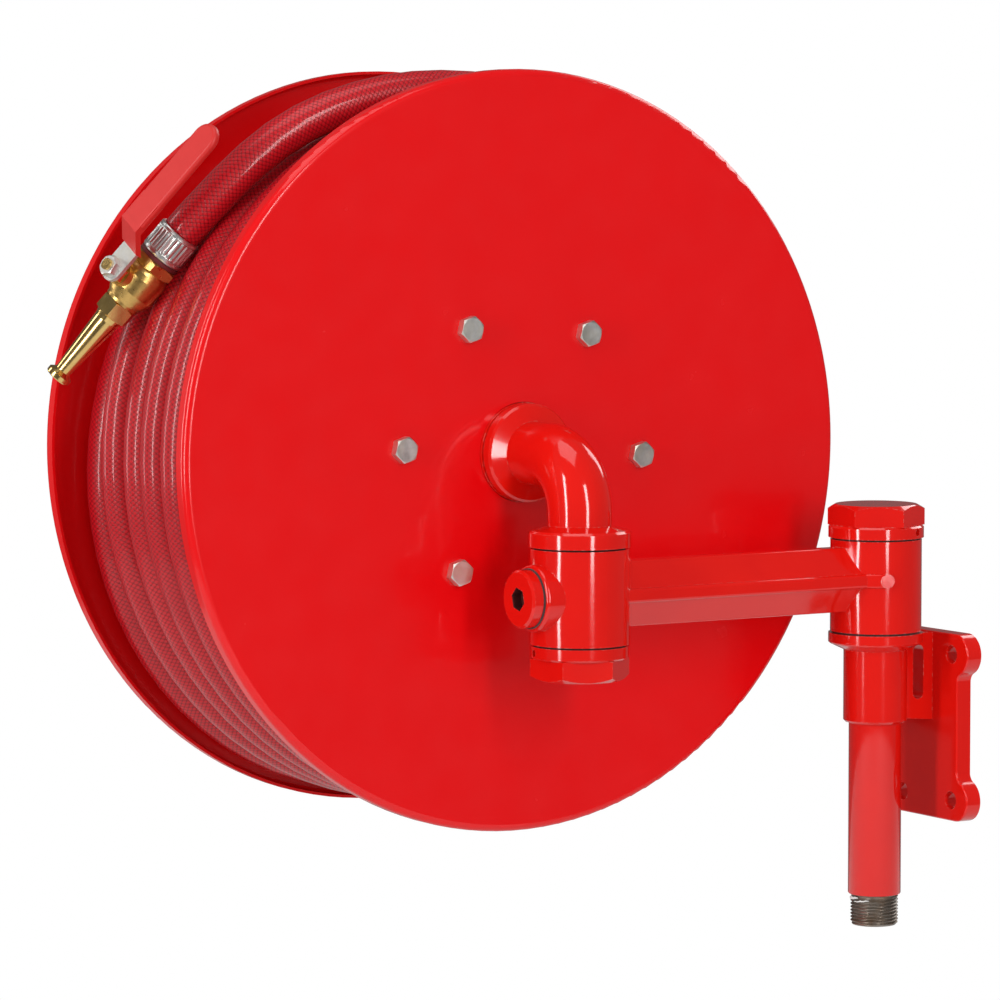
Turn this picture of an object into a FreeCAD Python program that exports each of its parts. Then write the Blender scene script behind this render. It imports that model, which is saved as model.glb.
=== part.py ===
"""Swinging wall-mounted fire hose reel, in millimetres.

Frame: the origin is the middle of the wall plate's four-hole pattern, on the face that bears on
the wall. +Z is up, +Y points into the wall and -Y into the room. The riser stands in front of
the wall, the swing arm reaches along -Y, and the drum hangs off the arm's end on the -X side,
with its spin axis along X.
"""
import FreeCAD, Part
import math
import os

V = FreeCAD.Vector
X_AXIS, Y_AXIS, Z_AXIS = V(1, 0, 0), V(0, 1, 0), V(0, 0, 1)

# ---------------------------------------------------------------- driving dimensions
# the drum
disc_radius = 260.0            # steel side disc, over its rolled rim
drum_width = 205.0             # outer face to outer face of the two discs
sheet = 2.0                    # disc sheet thickness
rim_depth = 11.5               # how far the rim is rolled towards the hose
rim_bend = 5.0                 # outside radius of the rolled corner
barrel_radius = 144.0          # outside of the drum's barrel
barrel_sheet = 1.5
barrel_flange_inner = 84.0     # inside radius of the barrel's bolting flanges
rear_opening_radius = 75.0     # hand hole in the rear disc
disc_bolt_circle = 95.0        # radius of the six-bolt circle
disc_bolt_phase = -3.0         # degrees, first bolt's angle from +Y
disc_bolt_count = 6

# where the axes are
arm_length = 245.0             # riser axis to drum swivel axis
wall_to_riser = 57.0           # wall face to riser axis
arm_height = 105.5             # arm's middle above the bolt pattern's middle
drum_axis_rise = 92.0          # drum axis above the arm's middle
disc_standoff = 72.0           # front disc's outer face to the drum swivel axis

# the water-tight swivel joint, used at riser, arm end and hub
spindle_radius = 16.0
spindle_bore = spindle_radius - 5.0
port_radius = 7.0
bush_wall = 3.0
running_gap = 0.05             # radial clearance of spindle in bush, and of ball in seat
chamber_half = 11.0            # half height of the water chamber between the bushes
chamber_radius = 24.0
washer_thickness = 1.2
washer_gap = 0.1               # end float of the joint
washer_outer = 30.5
groove_width = 3.6
groove_depth = 2.6
cap_skirt_radius = 33.2
cap_skirt_height = 8.5
cap_hex_flats = 58.5
cap_hex_height = 14.5
cap_thread_length = 17.0       # spindle thread inside the cap
grub_radius = 2.5
grub_length = 6.0
grub_socket_depth = 2.0
riser_grub_angle = 24.0        # degrees, where each cap has its grub screw
elbow_grub_angle = 100.0
hub_grub_angle = 60.0
cap_hex_turn = 58.0            # degrees, where a cap's first corner points
elbow_cap_hex_turn = 52.0
spindle_end_wall = 2.0         # bore past the top of the ports

# the arm
riser_barrel_radius = 31.8
riser_barrel_below = 37.0      # barrel below the arm's middle
riser_barrel_above = 27.0
elbow_barrel_radius = 33.8
elbow_barrel_half = 32.0
beam_half_height = 22.25
beam_half_width = 19.5
beam_crown_half_width = 6.5    # half width of the beam's narrow top and bottom
beam_flank_half = 4.5          # half height of the beam's upright flank
rib_half_height = 4.8
rib_half_width = 23.5
rib_wrap_angle = 68.0          # degrees that the rib runs round the riser barrel
rib_stand = 2.0
beam_crest_round = 2.5
rib_round = 2.4
rib_wrap_round = 1.5
passage_radius = 10.5          # water way drilled through the beam
plug_boss_radius = 22.5
plug_boss_round = 2.5
plug_boss_reach = 39.5         # boss face from the drum swivel axis
plug_thread_radius = 16.6
plug_head_radius = 19.5
plug_head_height = 8.0
plug_socket_flats = 14.0
plug_socket_depth = 7.0
plug_washer_thickness = 1.2

# the wall bracket and the riser
plate_thickness = 12.0
plate_half_width = 34.5
hole_spacing_x = 56.0
hole_spacing_z = 102.5
hole_radius = 6.3
ear_radius = 14.5
ear_offset = 4.0               # ear's middle outboard of its hole
ear_blend_radius = 7.0         # hollow between an ear and the plate's side
plate_edge = 1.2               # rounding of the plate's front edge
web_thickness = 12.5
web_bottom = 3.5
slot_width = 9.0
slot_height = 38.0
slot_from_plate = 12.5         # slot's middle in front of the plate's front face
slot_top_gap = 10.0
collar_radius = 22.3
collar_bottom = 4.5
bearing_ring_radius = 33.0
bearing_ring_height = 7.5
bearing_ring_chamfer = 4.5
riser_radius = 18.4
riser_bore = 12.5
riser_below_arm = 243.5        # arm's middle to the inlet's end
inlet_thread_radius = 16.62    # one inch pipe thread, over its crests
inlet_thread_length = 21.5

# the elbow
elbow_radius = 21.8
elbow_bore = 13.0
elbow_bend = 38.0
elbow_flange_height = 11.0
elbow_flange_radius = 34.6
hub_flange_height = 8.0
hub_flange_radius = 33.5
elbow_socket_depth = 16.0

# the hub
hub_barrel_radius = 34.0
hub_barrel_length = 66.0
hub_nose = 2.0                 # hub barrel stands this far out of the front disc
hub_port_depth = 36.0          # hub barrel's front end to the middle of its water chamber
hub_plate_radius = 112.0
hub_plate_thickness = 6.0
hub_rib_thickness = 5.0
hub_rib_count = 6
hub_boss_radius = 18.0
hub_boss_reach = 46.0
fit_gap = 0.3                  # clearance hole over the piece that it takes

# the outlet inside the drum
outlet_angle = 175.0           # degrees from +Y, direction of the radial outlet pipe
outlet_lag = 25.0              # degrees from that direction to the hose line's nearest point
lead_in_distance = 112.0       # hose line from the drum axis
outlet_radius = 11.5
outlet_bore = 8.5
outlet_bend_radius = 22.0
tail_hex_flats = 27.0
tail_hex_height = 10.0
tail_length = 30.0
barb_depth = 0.7
barb_count = 4

# the hose
hose_radius = 13.5
hose_bore_radius = 9.5
coil_inner_gap = 0.5
coil_side_gap = 1.0
coil_front_radius = 246.0      # outer radius of the winding next to the front disc
coil_rear_radius = 225.0       # and where the last layer is missing
coil_step_from_front = 132.0   # depth behind the front face where the last layer ends
slot_start_angle = 18.0        # barrel notch, degrees after the hose line's nearest point
slot_end_angle = 92.0
slot_depth_from_front = 50.0
slot_inner_radius = 128.0

# fasteners of the drum
bolt_radius = 5.0
bolt_hole_radius = 5.5
bolt_flats = 16.0
bolt_head_height = 6.4
nut_height = 8.0
bolt_tip = 2.5                 # thread past the nut

# the nozzle with its ball valve; distances run from the ferrule's middle towards the mouth
ferrule_half = 10.0
ferrule_outer = hose_radius + 1.9
ferrule_lip = 1.5              # turned-in end of the ferrule
inlet_washer_start = 11.5
inlet_washer_thickness = 2.5
inlet_washer_radius = ferrule_outer - 0.4
inlet_hex_flats = 30.0
inlet_hex_start = 14.0
inlet_hex_length = 8.0
valve_radius = 15.5
valve_neck_radius = 12.5
valve_start = 22.0
valve_centre = 35.0
valve_end = 52.0
valve_way_radius = 6.5
ball_radius = 11.0
seat_length = 3.5
gland_radius = 9.0
gland_height = 19.0            # gland boss face from the nozzle's axis
gland_nut_flats = 15.0
gland_nut_height = 4.0
stem_radius = 4.0
lever_height = 23.6            # underside of the lever plate from the nozzle's axis
lever_thickness = 2.6
lever_width = 18.0
lever_rise = 13.5
lever_flat = 18.0              # flat of the lever from the stem before it rises
lever_ramp = 13.0
lever_reach = 118.0            # stem to the grip's far end
lever_end_cover = 6.0          # grip past the lever's end
grip_thickness = 6.0
grip_width = 22.0
grip_length = 82.0
grip_round = 2.4
grip_skin = 1.4                # plastic round the lever's crank
stem_turn = 7.0                # degrees, stem's direction past the ferrule's angle
stem_lean = 0.3                # share of the stem's direction that points to the front
stem_nut_flats = 13.0
stem_nut_height = 6.0
tip_hex_flats = 23.0
tip_hex_length = 12.0
tip_base_radius = 9.0
tip_mouth_radius = 5.6
tip_bead_radius = 9.0
tip_bead_length = 4.5
tip_bore = 3.6
nozzle_length = 120.0          # ferrule's middle to the mouth

# ---------------------------------------------------------------- places worked out
riser_y = -wall_to_riser
elbow_y = riser_y - arm_length
drum_z = arm_height + drum_axis_rise
front_x = -disc_standoff
rear_x = front_x - drum_width
float_gap = washer_thickness + washer_gap

riser_foot = V(0, riser_y, arm_height - riser_barrel_below)
elbow_head = V(0, elbow_y, arm_height + elbow_barrel_half)
hub_mouth = V(front_x + hub_nose, elbow_y, drum_z)
drum_centre = V(front_x, elbow_y, drum_z)


# ---------------------------------------------------------------- small helpers
def cylinder(radius, start, end):
    """Solid cylinder from start to end."""
    axis = end.sub(start)
    return Part.makeCylinder(radius, axis.Length, start, axis)


def pipe(outer, inner, start, end):
    """Cylinder with a bore right through."""
    return cylinder(outer, start, end).cut(cylinder(inner, start, end))


def block(low, high):
    """Box between two corners."""
    size = high.sub(low)
    return Part.makeBox(size.x, size.y, size.z, low)


def hexagon(flats, start, end, turn=0.0):
    """Hexagonal bar along +Z from height start to height end, a corner at angle turn."""
    corner = flats / math.sqrt(3.0)
    points = []
    for step in range(7):
        angle = math.radians(turn + 60.0 * step)
        points.append(V(corner * math.cos(angle), corner * math.sin(angle), start))
    return Part.Face(Part.makePolygon(points)).extrude(V(0, 0, end - start))


def crowned_hexagon(flats, start, end, turn=0.0, chamfer_start=False, chamfer_end=True):
    """Hexagon with its corners turned off at 30 degrees, as on a nut."""
    bar = hexagon(flats, start, end, turn)
    corner = flats / math.sqrt(3.0)
    face = flats / 2.0 * 0.97
    drop = (corner - face) * math.tan(math.radians(30.0))
    low = start + (drop if chamfer_start else 0.0)
    high = end - (drop if chamfer_end else 0.0)
    profile = [V(0, 0, start), V(face if chamfer_start else corner, 0, start), V(corner, 0, low),
               V(corner, 0, high), V(face if chamfer_end else corner, 0, end), V(0, 0, end)]
    return bar.common(revolve(profile))


def revolve(points, axis=Z_AXIS):
    """Solid of revolution about an axis through the origin, from a closed list of points."""
    clean = [p for i, p in enumerate(points) if i == 0 or p.sub(points[i - 1]).Length > 1e-6]
    face = Part.Face(Part.makePolygon(clean + [clean[0]]))
    return face.revolve(V(0, 0, 0), axis, 360)


def aim(shape, origin, z_to, x_to):
    """Copy of a shape drawn about +Z, moved to origin with its +Z along z_to and +X along x_to."""
    z_dir = V(z_to).normalize()
    y_dir = z_dir.cross(x_to).normalize()
    x_dir = y_dir.cross(z_dir)
    matrix = FreeCAD.Matrix(x_dir.x, y_dir.x, z_dir.x, origin.x,
                            x_dir.y, y_dir.y, z_dir.y, origin.y,
                            x_dir.z, y_dir.z, z_dir.z, origin.z, 0, 0, 0, 1)
    moved = shape.copy()
    moved.Placement = FreeCAD.Placement(matrix).multiply(moved.Placement)
    return moved


def on_drum(depth, radius, angle):
    """Point at a depth behind the front disc's face, at a radius and angle about the drum axis."""
    turn = math.radians(angle)
    return V(front_x - depth, elbow_y + radius * math.cos(turn), drum_z + radius * math.sin(turn))


def outward(angle):
    """Unit vector away from the drum axis at an angle from +Y."""
    return V(0, math.cos(math.radians(angle)), math.sin(math.radians(angle)))


def save(name, *solids):
    """Write one node; several solids are one group of separate pieces."""
    shape = solids[0] if len(solids) == 1 else Part.makeCompound(list(solids))
    shape.exportStep("parts/%s.step" % name)
    print("%-22s %2d solid(s) %12.0f mm3" % (name, len(shape.Solids), shape.Volume))


# ---------------------------------------------------------------- the swivel joint
# Drawn about +Z: the barrel runs from 0 to its length, the shoulder that carries it lies below 0,
# and the cap nut closes it above.
bush_outer = spindle_radius + running_gap + bush_wall


def groove_heights(length, port_height):
    """Middle heights of the two O-ring grooves, each half way along its bush."""
    return (port_height - chamber_half) / 2.0, (length + port_height + chamber_half) / 2.0


def joint_spindle(length, port_height, root):
    """Hollow spindle with four ports and two ring grooves; root is how far it goes below 0."""
    top = length + float_gap + cap_thread_length
    body = cylinder(spindle_radius, V(0, 0, -root), V(0, 0, top))
    bore_end = port_height + port_radius + spindle_end_wall
    body = body.cut(cylinder(spindle_bore, V(0, 0, -root), V(0, 0, bore_end)))
    for direction in (X_AXIS, Y_AXIS):
        reach = direction * (spindle_radius + 1.0)
        middle = V(0, 0, port_height)
        body = body.cut(cylinder(port_radius, middle - reach, middle + reach))
    for height in groove_heights(length, port_height):
        low = V(0, 0, height - groove_width / 2.0)
        high = V(0, 0, height + groove_width / 2.0)
        body = body.cut(pipe(spindle_radius + 1.0, spindle_radius - groove_depth, low, high))
    return body


def joint_rings(length, port_height):
    """The two O-rings, filling groove depth to just short of the bush."""
    section = (groove_depth + running_gap / 2.0) / 2.0
    middle = spindle_radius - groove_depth + section
    return [Part.makeTorus(middle, section, V(0, 0, height), Z_AXIS)
            for height in groove_heights(length, port_height)]


def joint_bushes(length, port_height):
    """Bronze bush at each end of the barrel."""
    inner = spindle_radius + running_gap
    return [pipe(bush_outer, inner, V(0, 0, 0), V(0, 0, port_height - chamber_half)),
            pipe(bush_outer, inner, V(0, 0, port_height + chamber_half), V(0, 0, length))]


def joint_washers(length):
    """Thrust washer at each end, lying on the parts that stay with the spindle."""
    inner = spindle_radius + fit_gap
    low = -float_gap
    high = length + float_gap
    return [pipe(washer_outer, inner, V(0, 0, low), V(0, 0, low + washer_thickness)),
            pipe(washer_outer, inner, V(0, 0, high - washer_thickness), V(0, 0, high))]


def joint_bore(length, port_height):
    """Space that a barrel needs for its bushes and its water chamber."""
    through = cylinder(bush_outer, V(0, 0, 0), V(0, 0, length))
    chamber = cylinder(chamber_radius, V(0, 0, port_height - chamber_half),
                       V(0, 0, port_height + chamber_half))
    return through.fuse(chamber)


def joint_cap(length, grub_angle, hex_turn=cap_hex_turn):
    """Hexagon cap nut with a round skirt, bored for the spindle and drilled for its grub screw."""
    base = length + float_gap
    seat = base + cap_skirt_height
    top = seat + cap_hex_height
    edge = 1.2
    skirt = revolve([V(0, 0, base), V(cap_skirt_radius, 0, base),
                     V(cap_skirt_radius, 0, seat - edge), V(cap_skirt_radius - edge, 0, seat),
                     V(0, 0, seat)])
    cap = skirt.fuse(crowned_hexagon(cap_hex_flats, seat - 0.01, top, hex_turn))
    cap = cap.cut(cylinder(spindle_radius, V(0, 0, base), V(0, 0, base + cap_thread_length)))
    return cap.cut(grub_hole(base, grub_angle))


def grub_line(base, grub_angle):
    """Start of the grub screw's hole, on the spindle, and its direction."""
    turn = math.radians(grub_angle)
    direction = V(math.cos(turn), math.sin(turn), 0)
    return direction * spindle_radius + V(0, 0, base + cap_skirt_height / 2.0), direction


def grub_hole(base, grub_angle):
    start, direction = grub_line(base, grub_angle)
    return cylinder(grub_radius, start, start + direction * (cap_skirt_radius - spindle_radius + 1.0))


def joint_grub(length, grub_angle):
    """Grub screw with a hexagon socket, bearing on the spindle and sunk below the skirt."""
    start, direction = grub_line(length + float_gap, grub_angle)
    body = cylinder(grub_radius, start, start + direction * grub_length)
    socket = aim(hexagon(grub_radius, grub_length - grub_socket_depth, grub_length), start, direction, Z_AXIS)
    return body.cut(socket)


# ---------------------------------------------------------------- wall bracket and riser
def wall_plate():
    """Plate with four round ears, blended into its sides and rounded along its front edge."""
    front = V(0, -plate_thickness, 0)
    half_x, half_z = hole_spacing_x / 2.0 + ear_offset, hole_spacing_z / 2.0
    plate = block(V(-plate_half_width, front.y, -half_z), V(plate_half_width, 0, half_z))
    plate = plate.fuse(block(V(-half_x, front.y, -half_z - ear_radius), V(half_x, 0, half_z + ear_radius)))
    for side in (-1, 1):
        for level in (-1, 1):
            middle = V(side * half_x, 0, level * half_z)
            plate = plate.fuse(cylinder(ear_radius, middle + front, middle))
    plate = plate.removeSplitter()
    necks = []
    for edge in plate.Edges:
        box = edge.BoundBox
        upright = box.YLength > plate_thickness - 0.1 and box.XLength + box.ZLength < 0.1
        if upright and abs(abs(box.Center.x) - plate_half_width) < 0.1 and abs(box.Center.z) < half_z - 1.0:
            necks.append(edge)
    plate = plate.makeFillet(ear_blend_radius, necks)
    rim = [e for e in plate.Edges if e.BoundBox.YMax < front.y + 0.01]
    return plate.makeFillet(plate_edge, rim)


def bearing_head():
    """Ring that carries the arm, its chamfer and the collar below, about the riser axis."""
    top = riser_foot.z - float_gap
    under = top - bearing_ring_height
    points = [V(0, 0, collar_bottom), V(collar_radius - 1.5, 0, collar_bottom),
              V(collar_radius, 0, collar_bottom + 1.5), V(collar_radius, 0, under - bearing_ring_chamfer),
              V(bearing_ring_radius - 1.0, 0, under), V(bearing_ring_radius, 0, under + 1.0),
              V(bearing_ring_radius, 0, top), V(0, 0, top)]
    head = revolve(points)
    head.translate(V(0, riser_y, 0))
    return head


def bracket_web():
    """Upright web from the collar to the plate, its top sloping down to the plate's top."""
    top = riser_foot.z - float_gap - 0.5
    plate_top = hole_spacing_z / 2.0 + ear_radius - 1.0
    front, back = riser_y, -plate_thickness + 1.0
    outline = [V(-web_thickness / 2, front, collar_bottom + 3.0), V(-web_thickness / 2, front, top),
               V(-web_thickness / 2, back, plate_top), V(-web_thickness / 2, back, web_bottom)]
    web = Part.Face(Part.makePolygon(outline + [outline[0]])).extrude(V(web_thickness, 0, 0))
    middle = -plate_thickness - slot_from_plate
    high = top - slot_top_gap - slot_width / 2.0
    low = high - slot_height + slot_width
    reach = web_thickness
    slot = block(V(-reach, middle - slot_width / 2.0, low), V(reach, middle + slot_width / 2.0, high))
    for level in (low, high):
        slot = slot.fuse(cylinder(slot_width / 2.0, V(-reach, middle, level), V(reach, middle, level)))
    return web.cut(slot)


def make_bracket():
    """Iron casting that holds everything to the wall."""
    bracket = wall_plate().fuse(bracket_web()).fuse(bearing_head())
    bracket = bracket.cut(cylinder(riser_radius, V(0, riser_y, collar_bottom - 1.0),
                                   V(0, riser_y, riser_foot.z)))
    for side in (-1, 1):
        for level in (-1, 1):
            middle = V(side * hole_spacing_x / 2.0, 0, level * hole_spacing_z / 2.0)
            bracket = bracket.cut(cylinder(hole_radius, middle - V(0, plate_thickness + 1.0, 0),
                                           middle + V(0, 1.0, 0)))
    return bracket.removeSplitter()


def make_riser_stem():
    """Turned stem: threaded inlet, pipe through the bracket, and the arm's spindle on top."""
    foot = arm_height - riser_below_arm - riser_foot.z
    shoulder = -float_gap
    thread_top = foot + inlet_thread_length
    spindle = joint_spindle(riser_barrel_below + riser_barrel_above, riser_barrel_below, -shoulder)
    tube = cylinder(riser_radius, V(0, 0, thread_top), V(0, 0, shoulder))
    thread = cylinder(inlet_thread_radius, V(0, 0, foot), V(0, 0, thread_top))
    thread = thread.makeChamfer(1.2, [e for e in thread.Edges if abs(e.BoundBox.ZMax - foot) < 0.01])
    stem = tube.fuse(thread).cut(cylinder(riser_bore, V(0, 0, foot - 1.0), V(0, 0, shoulder - 8.0)))
    stem = stem.cut(cylinder(spindle_bore, V(0, 0, shoulder - 9.0), V(0, 0, shoulder)))
    return stem.fuse(spindle).removeSplitter()


def save_riser():
    length = riser_barrel_below + riser_barrel_above
    place = dict(origin=riser_foot, z_to=Z_AXIS, x_to=X_AXIS)
    save("wall_bracket", make_bracket())
    save("riser_stem", aim(make_riser_stem(), **place))
    save("riser_washers", *[aim(s, **place) for s in joint_washers(length)])
    save("riser_o_rings", *[aim(s, **place) for s in joint_rings(length, riser_barrel_below)])
    save("riser_cap", aim(joint_cap(length, riser_grub_angle), **place))
    save("riser_grub_screw", aim(joint_grub(length, riser_grub_angle), **place))


# ---------------------------------------------------------------- swing arm
def beam():
    """Six-sided hollow beam between the two barrels, with the ribs along its flanks."""
    outline = [V(beam_crown_half_width, 0, beam_half_height), V(beam_half_width, 0, beam_flank_half),
               V(beam_half_width, 0, -beam_flank_half), V(beam_crown_half_width, 0, -beam_half_height)]
    outline += [V(-p.x, 0, p.z) for p in reversed(outline)]
    solid = Part.Face(Part.makePolygon(outline + [outline[0]])).extrude(V(0, arm_length, 0))
    crest = [e for e in solid.Edges if e.BoundBox.YLength > arm_length - 1.0
             and abs(e.BoundBox.Center.z) > beam_half_height - 1.0]
    solid = solid.makeFillet(beam_crest_round, crest)
    rib = block(V(-rib_half_width, 0, -rib_half_height), V(rib_half_width, arm_length, rib_half_height))
    rib = rib.makeFillet(rib_round, [e for e in rib.Edges if e.BoundBox.YLength > arm_length - 1.0])
    solid = solid.fuse(rib)
    solid.translate(V(0, elbow_y, arm_height))
    return solid


def rib_wrap():
    """Ends of the ribs, running round the riser barrel and rounded off."""
    outer = riser_barrel_radius + rib_stand
    low, high = V(0, riser_y, arm_height - rib_half_height), V(0, riser_y, arm_height + rib_half_height)
    wrap = cylinder(outer, low, high)
    edges = [e for e in wrap.Edges if e.BoundBox.ZLength < 0.01]
    wrap = wrap.makeFillet(rib_wrap_round, edges)
    limit = riser_y - outer * math.cos(math.radians(rib_wrap_angle))
    keep = block(V(-outer - 1, riser_y - outer - 1, low.z), V(outer + 1, limit, high.z))
    band = wrap.common(keep)
    for side in (-1, 1):
        turn = math.radians(rib_wrap_angle)
        nose = V(side * math.sin(turn), -math.cos(turn), 0)
        centre = V(0, riser_y, arm_height)
        knob = cylinder(rib_half_height, centre + nose * (riser_barrel_radius - 4.0), centre + nose * outer)
        band = band.fuse(knob)
    return band


def elbow_barrel():
    """Barrel at the arm's outer end, with the boss for the drilling's plug."""
    low = V(0, elbow_y, arm_height - elbow_barrel_half)
    barrel = cylinder(elbow_barrel_radius, low, elbow_head)
    boss = cylinder(plug_boss_radius, V(0, elbow_y, arm_height), V(0, elbow_y - plug_boss_reach, arm_height))
    rim = [e for e in boss.Edges if e.BoundBox.YMin < elbow_y - plug_boss_reach + 0.01
           and e.BoundBox.YLength < 0.01]
    return barrel.fuse(boss.makeFillet(plug_boss_round, rim))


def make_arm():
    """Arm casting: two barrels and the beam, bored for joints and for water."""
    riser_top = V(0, riser_y, arm_height + riser_barrel_above)
    barrel = cylinder(riser_barrel_radius, riser_foot, riser_top)
    arm = barrel.fuse(beam()).fuse(rib_wrap()).fuse(elbow_barrel()).removeSplitter()
    length = riser_barrel_below + riser_barrel_above
    arm = arm.cut(aim(joint_bore(length, riser_barrel_below), riser_foot, Z_AXIS, X_AXIS))
    arm = arm.cut(aim(joint_bore(2 * elbow_barrel_half, elbow_barrel_half), elbow_head,
                      V(0, 0, -1), X_AXIS))
    middle = V(0, elbow_y, arm_height)
    arm = arm.cut(cylinder(passage_radius, middle, middle + V(0, arm_length, 0)))
    mouth = middle - V(0, plug_boss_reach + 1.0, 0)
    return arm.cut(cylinder(plug_thread_radius, middle - V(0, bush_outer, 0), mouth))


def make_arm_plug():
    """Round-headed plug with a hexagon socket, drawn along its own axis, head outwards."""
    root = chamber_radius - plug_boss_reach
    shank = cylinder(plug_thread_radius, V(0, 0, root), V(0, 0, plug_washer_thickness))
    seat = plug_washer_thickness
    top = seat + plug_head_height
    head = revolve([V(0, 0, seat), V(plug_head_radius, 0, seat), V(plug_head_radius, 0, top - 1.5),
                    V(plug_head_radius - 1.5, 0, top), V(0, 0, top)])
    socket = hexagon(plug_socket_flats, top - plug_socket_depth, top + 1.0, 15.0)
    return shank.fuse(head).cut(socket)


def save_arm():
    save("swing_arm", make_arm())
    length = riser_barrel_below + riser_barrel_above
    save("riser_bushes", *[aim(s, riser_foot, Z_AXIS, X_AXIS)
                           for s in joint_bushes(length, riser_barrel_below)])
    save("elbow_bushes", *[aim(s, elbow_head, V(0, 0, -1), X_AXIS)
                           for s in joint_bushes(2 * elbow_barrel_half, elbow_barrel_half)])
    seat = V(0, elbow_y - plug_boss_reach, arm_height)
    save("arm_plug", aim(make_arm_plug(), seat, V(0, -1, 0), Z_AXIS))
    washer = pipe(plug_head_radius + 0.8, plug_thread_radius + fit_gap, V(0, 0, 0),
                  V(0, 0, plug_washer_thickness))
    save("arm_plug_washer", aim(washer, seat, V(0, -1, 0), Z_AXIS))


# ---------------------------------------------------------------- elbow between arm and hub
def elbow_solid(radius, start_x, end_z):
    """Bent bar of one radius: level from start_x, a quarter turn, then down to end_z."""
    bend_x, bend_z = -elbow_bend, drum_z - elbow_bend
    level = cylinder(radius, V(start_x, elbow_y, drum_z), V(bend_x, elbow_y, drum_z))
    down = cylinder(radius, V(0, elbow_y, bend_z), V(0, elbow_y, end_z))
    turn = Part.makeTorus(elbow_bend, radius, V(bend_x, elbow_y, bend_z), Y_AXIS)
    reach = elbow_bend + radius + 1.0
    quarter = block(V(bend_x, elbow_y - reach, bend_z), V(bend_x + reach, elbow_y + reach, bend_z + reach))
    return level.fuse(turn.common(quarter)).fuse(down)


def make_elbow():
    """Elbow casting with a round flange at each end, socketed for the two spindles."""
    face_x = hub_mouth.x + float_gap
    base_z = elbow_head.z + float_gap
    elbow = elbow_solid(elbow_radius, face_x, base_z)
    round_edge = 1.5
    lower = revolve([V(0, 0, 0), V(elbow_flange_radius, 0, 0),
                     V(elbow_flange_radius, 0, elbow_flange_height - round_edge),
                     V(elbow_flange_radius - round_edge, 0, elbow_flange_height),
                     V(elbow_radius, 0, elbow_flange_height + 3.0), V(0, 0, elbow_flange_height + 3.0)])
    side = revolve([V(0, 0, 0), V(hub_flange_radius, 0, 0),
                    V(hub_flange_radius, 0, hub_flange_height - round_edge),
                    V(hub_flange_radius - round_edge, 0, hub_flange_height),
                    V(elbow_radius, 0, hub_flange_height + 3.0), V(0, 0, hub_flange_height + 3.0)])
    elbow = elbow.fuse(aim(lower, V(0, elbow_y, base_z), Z_AXIS, X_AXIS))
    elbow = elbow.fuse(aim(side, V(face_x, elbow_y, drum_z), X_AXIS, Z_AXIS)).removeSplitter()
    elbow = elbow.cut(elbow_solid(elbow_bore, face_x - 1.0, base_z - 1.0))
    elbow = elbow.cut(cylinder(spindle_radius, V(0, elbow_y, base_z),
                               V(0, elbow_y, base_z + elbow_socket_depth)))
    return elbow.cut(cylinder(spindle_radius, V(face_x, elbow_y, drum_z),
                              V(face_x + elbow_socket_depth, elbow_y, drum_z)))


def save_elbow():
    save("elbow_pipe", make_elbow())
    root = float_gap + elbow_socket_depth
    length = 2 * elbow_barrel_half
    place = dict(origin=elbow_head, z_to=V(0, 0, -1), x_to=X_AXIS)
    save("elbow_spindle", aim(joint_spindle(length, elbow_barrel_half, root), **place))
    save("elbow_washers", *[aim(s, **place) for s in joint_washers(length)])
    save("elbow_o_rings", *[aim(s, **place) for s in joint_rings(length, elbow_barrel_half)])
    save("elbow_cap", aim(joint_cap(length, elbow_grub_angle, elbow_cap_hex_turn), **place))
    save("elbow_grub_screw", aim(joint_grub(length, elbow_grub_angle), **place))
    place = dict(origin=hub_mouth, z_to=V(-1, 0, 0), x_to=Z_AXIS)
    save("hub_spindle", aim(joint_spindle(hub_barrel_length, hub_port_depth, root), **place))
    save("hub_washers", *[aim(s, **place) for s in joint_washers(hub_barrel_length)])
    save("hub_o_rings", *[aim(s, **place) for s in joint_rings(hub_barrel_length, hub_port_depth)])
    save("hub_cap", aim(joint_cap(hub_barrel_length, hub_grub_angle), **place))
    save("hub_grub_screw", aim(joint_grub(hub_barrel_length, hub_grub_angle), **place))


# ---------------------------------------------------------------- drum
def bolt_angles():
    return [disc_bolt_phase + 360.0 / disc_bolt_count * k for k in range(disc_bolt_count)]


def disc(opening):
    """Side disc drawn about +Z: flat at 0, its rim rolled towards +Z, with bolt holes."""
    inner_bend, inside = rim_bend - sheet, disc_radius - sheet
    corner = V(disc_radius - rim_bend, 0, rim_bend)
    diagonal = V(math.sin(math.radians(45.0)), 0, -math.cos(math.radians(45.0)))
    edges = [Part.LineSegment(V(opening, 0, 0), V(corner.x, 0, 0)).toShape(),
             Part.Arc(V(corner.x, 0, 0), corner + diagonal * rim_bend, V(disc_radius, 0, rim_bend)).toShape(),
             Part.LineSegment(V(disc_radius, 0, rim_bend), V(disc_radius, 0, rim_depth)).toShape(),
             Part.LineSegment(V(disc_radius, 0, rim_depth), V(inside, 0, rim_depth)).toShape(),
             Part.LineSegment(V(inside, 0, rim_depth), V(inside, 0, rim_bend)).toShape(),
             Part.Arc(V(inside, 0, rim_bend), corner + diagonal * inner_bend, V(corner.x, 0, sheet)).toShape(),
             Part.LineSegment(V(corner.x, 0, sheet), V(opening, 0, sheet)).toShape(),
             Part.LineSegment(V(opening, 0, sheet), V(opening, 0, 0)).toShape()]
    return Part.Face(Part.Wire(edges)).revolve(V(0, 0, 0), Z_AXIS, 360)


def drill(shape, from_depth, to_depth):
    """Cut the six bolt holes over a range of depth."""
    for angle in bolt_angles():
        shape = shape.cut(cylinder(bolt_hole_radius, on_drum(from_depth, disc_bolt_circle, angle),
                                   on_drum(to_depth, disc_bolt_circle, angle)))
    return shape


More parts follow.
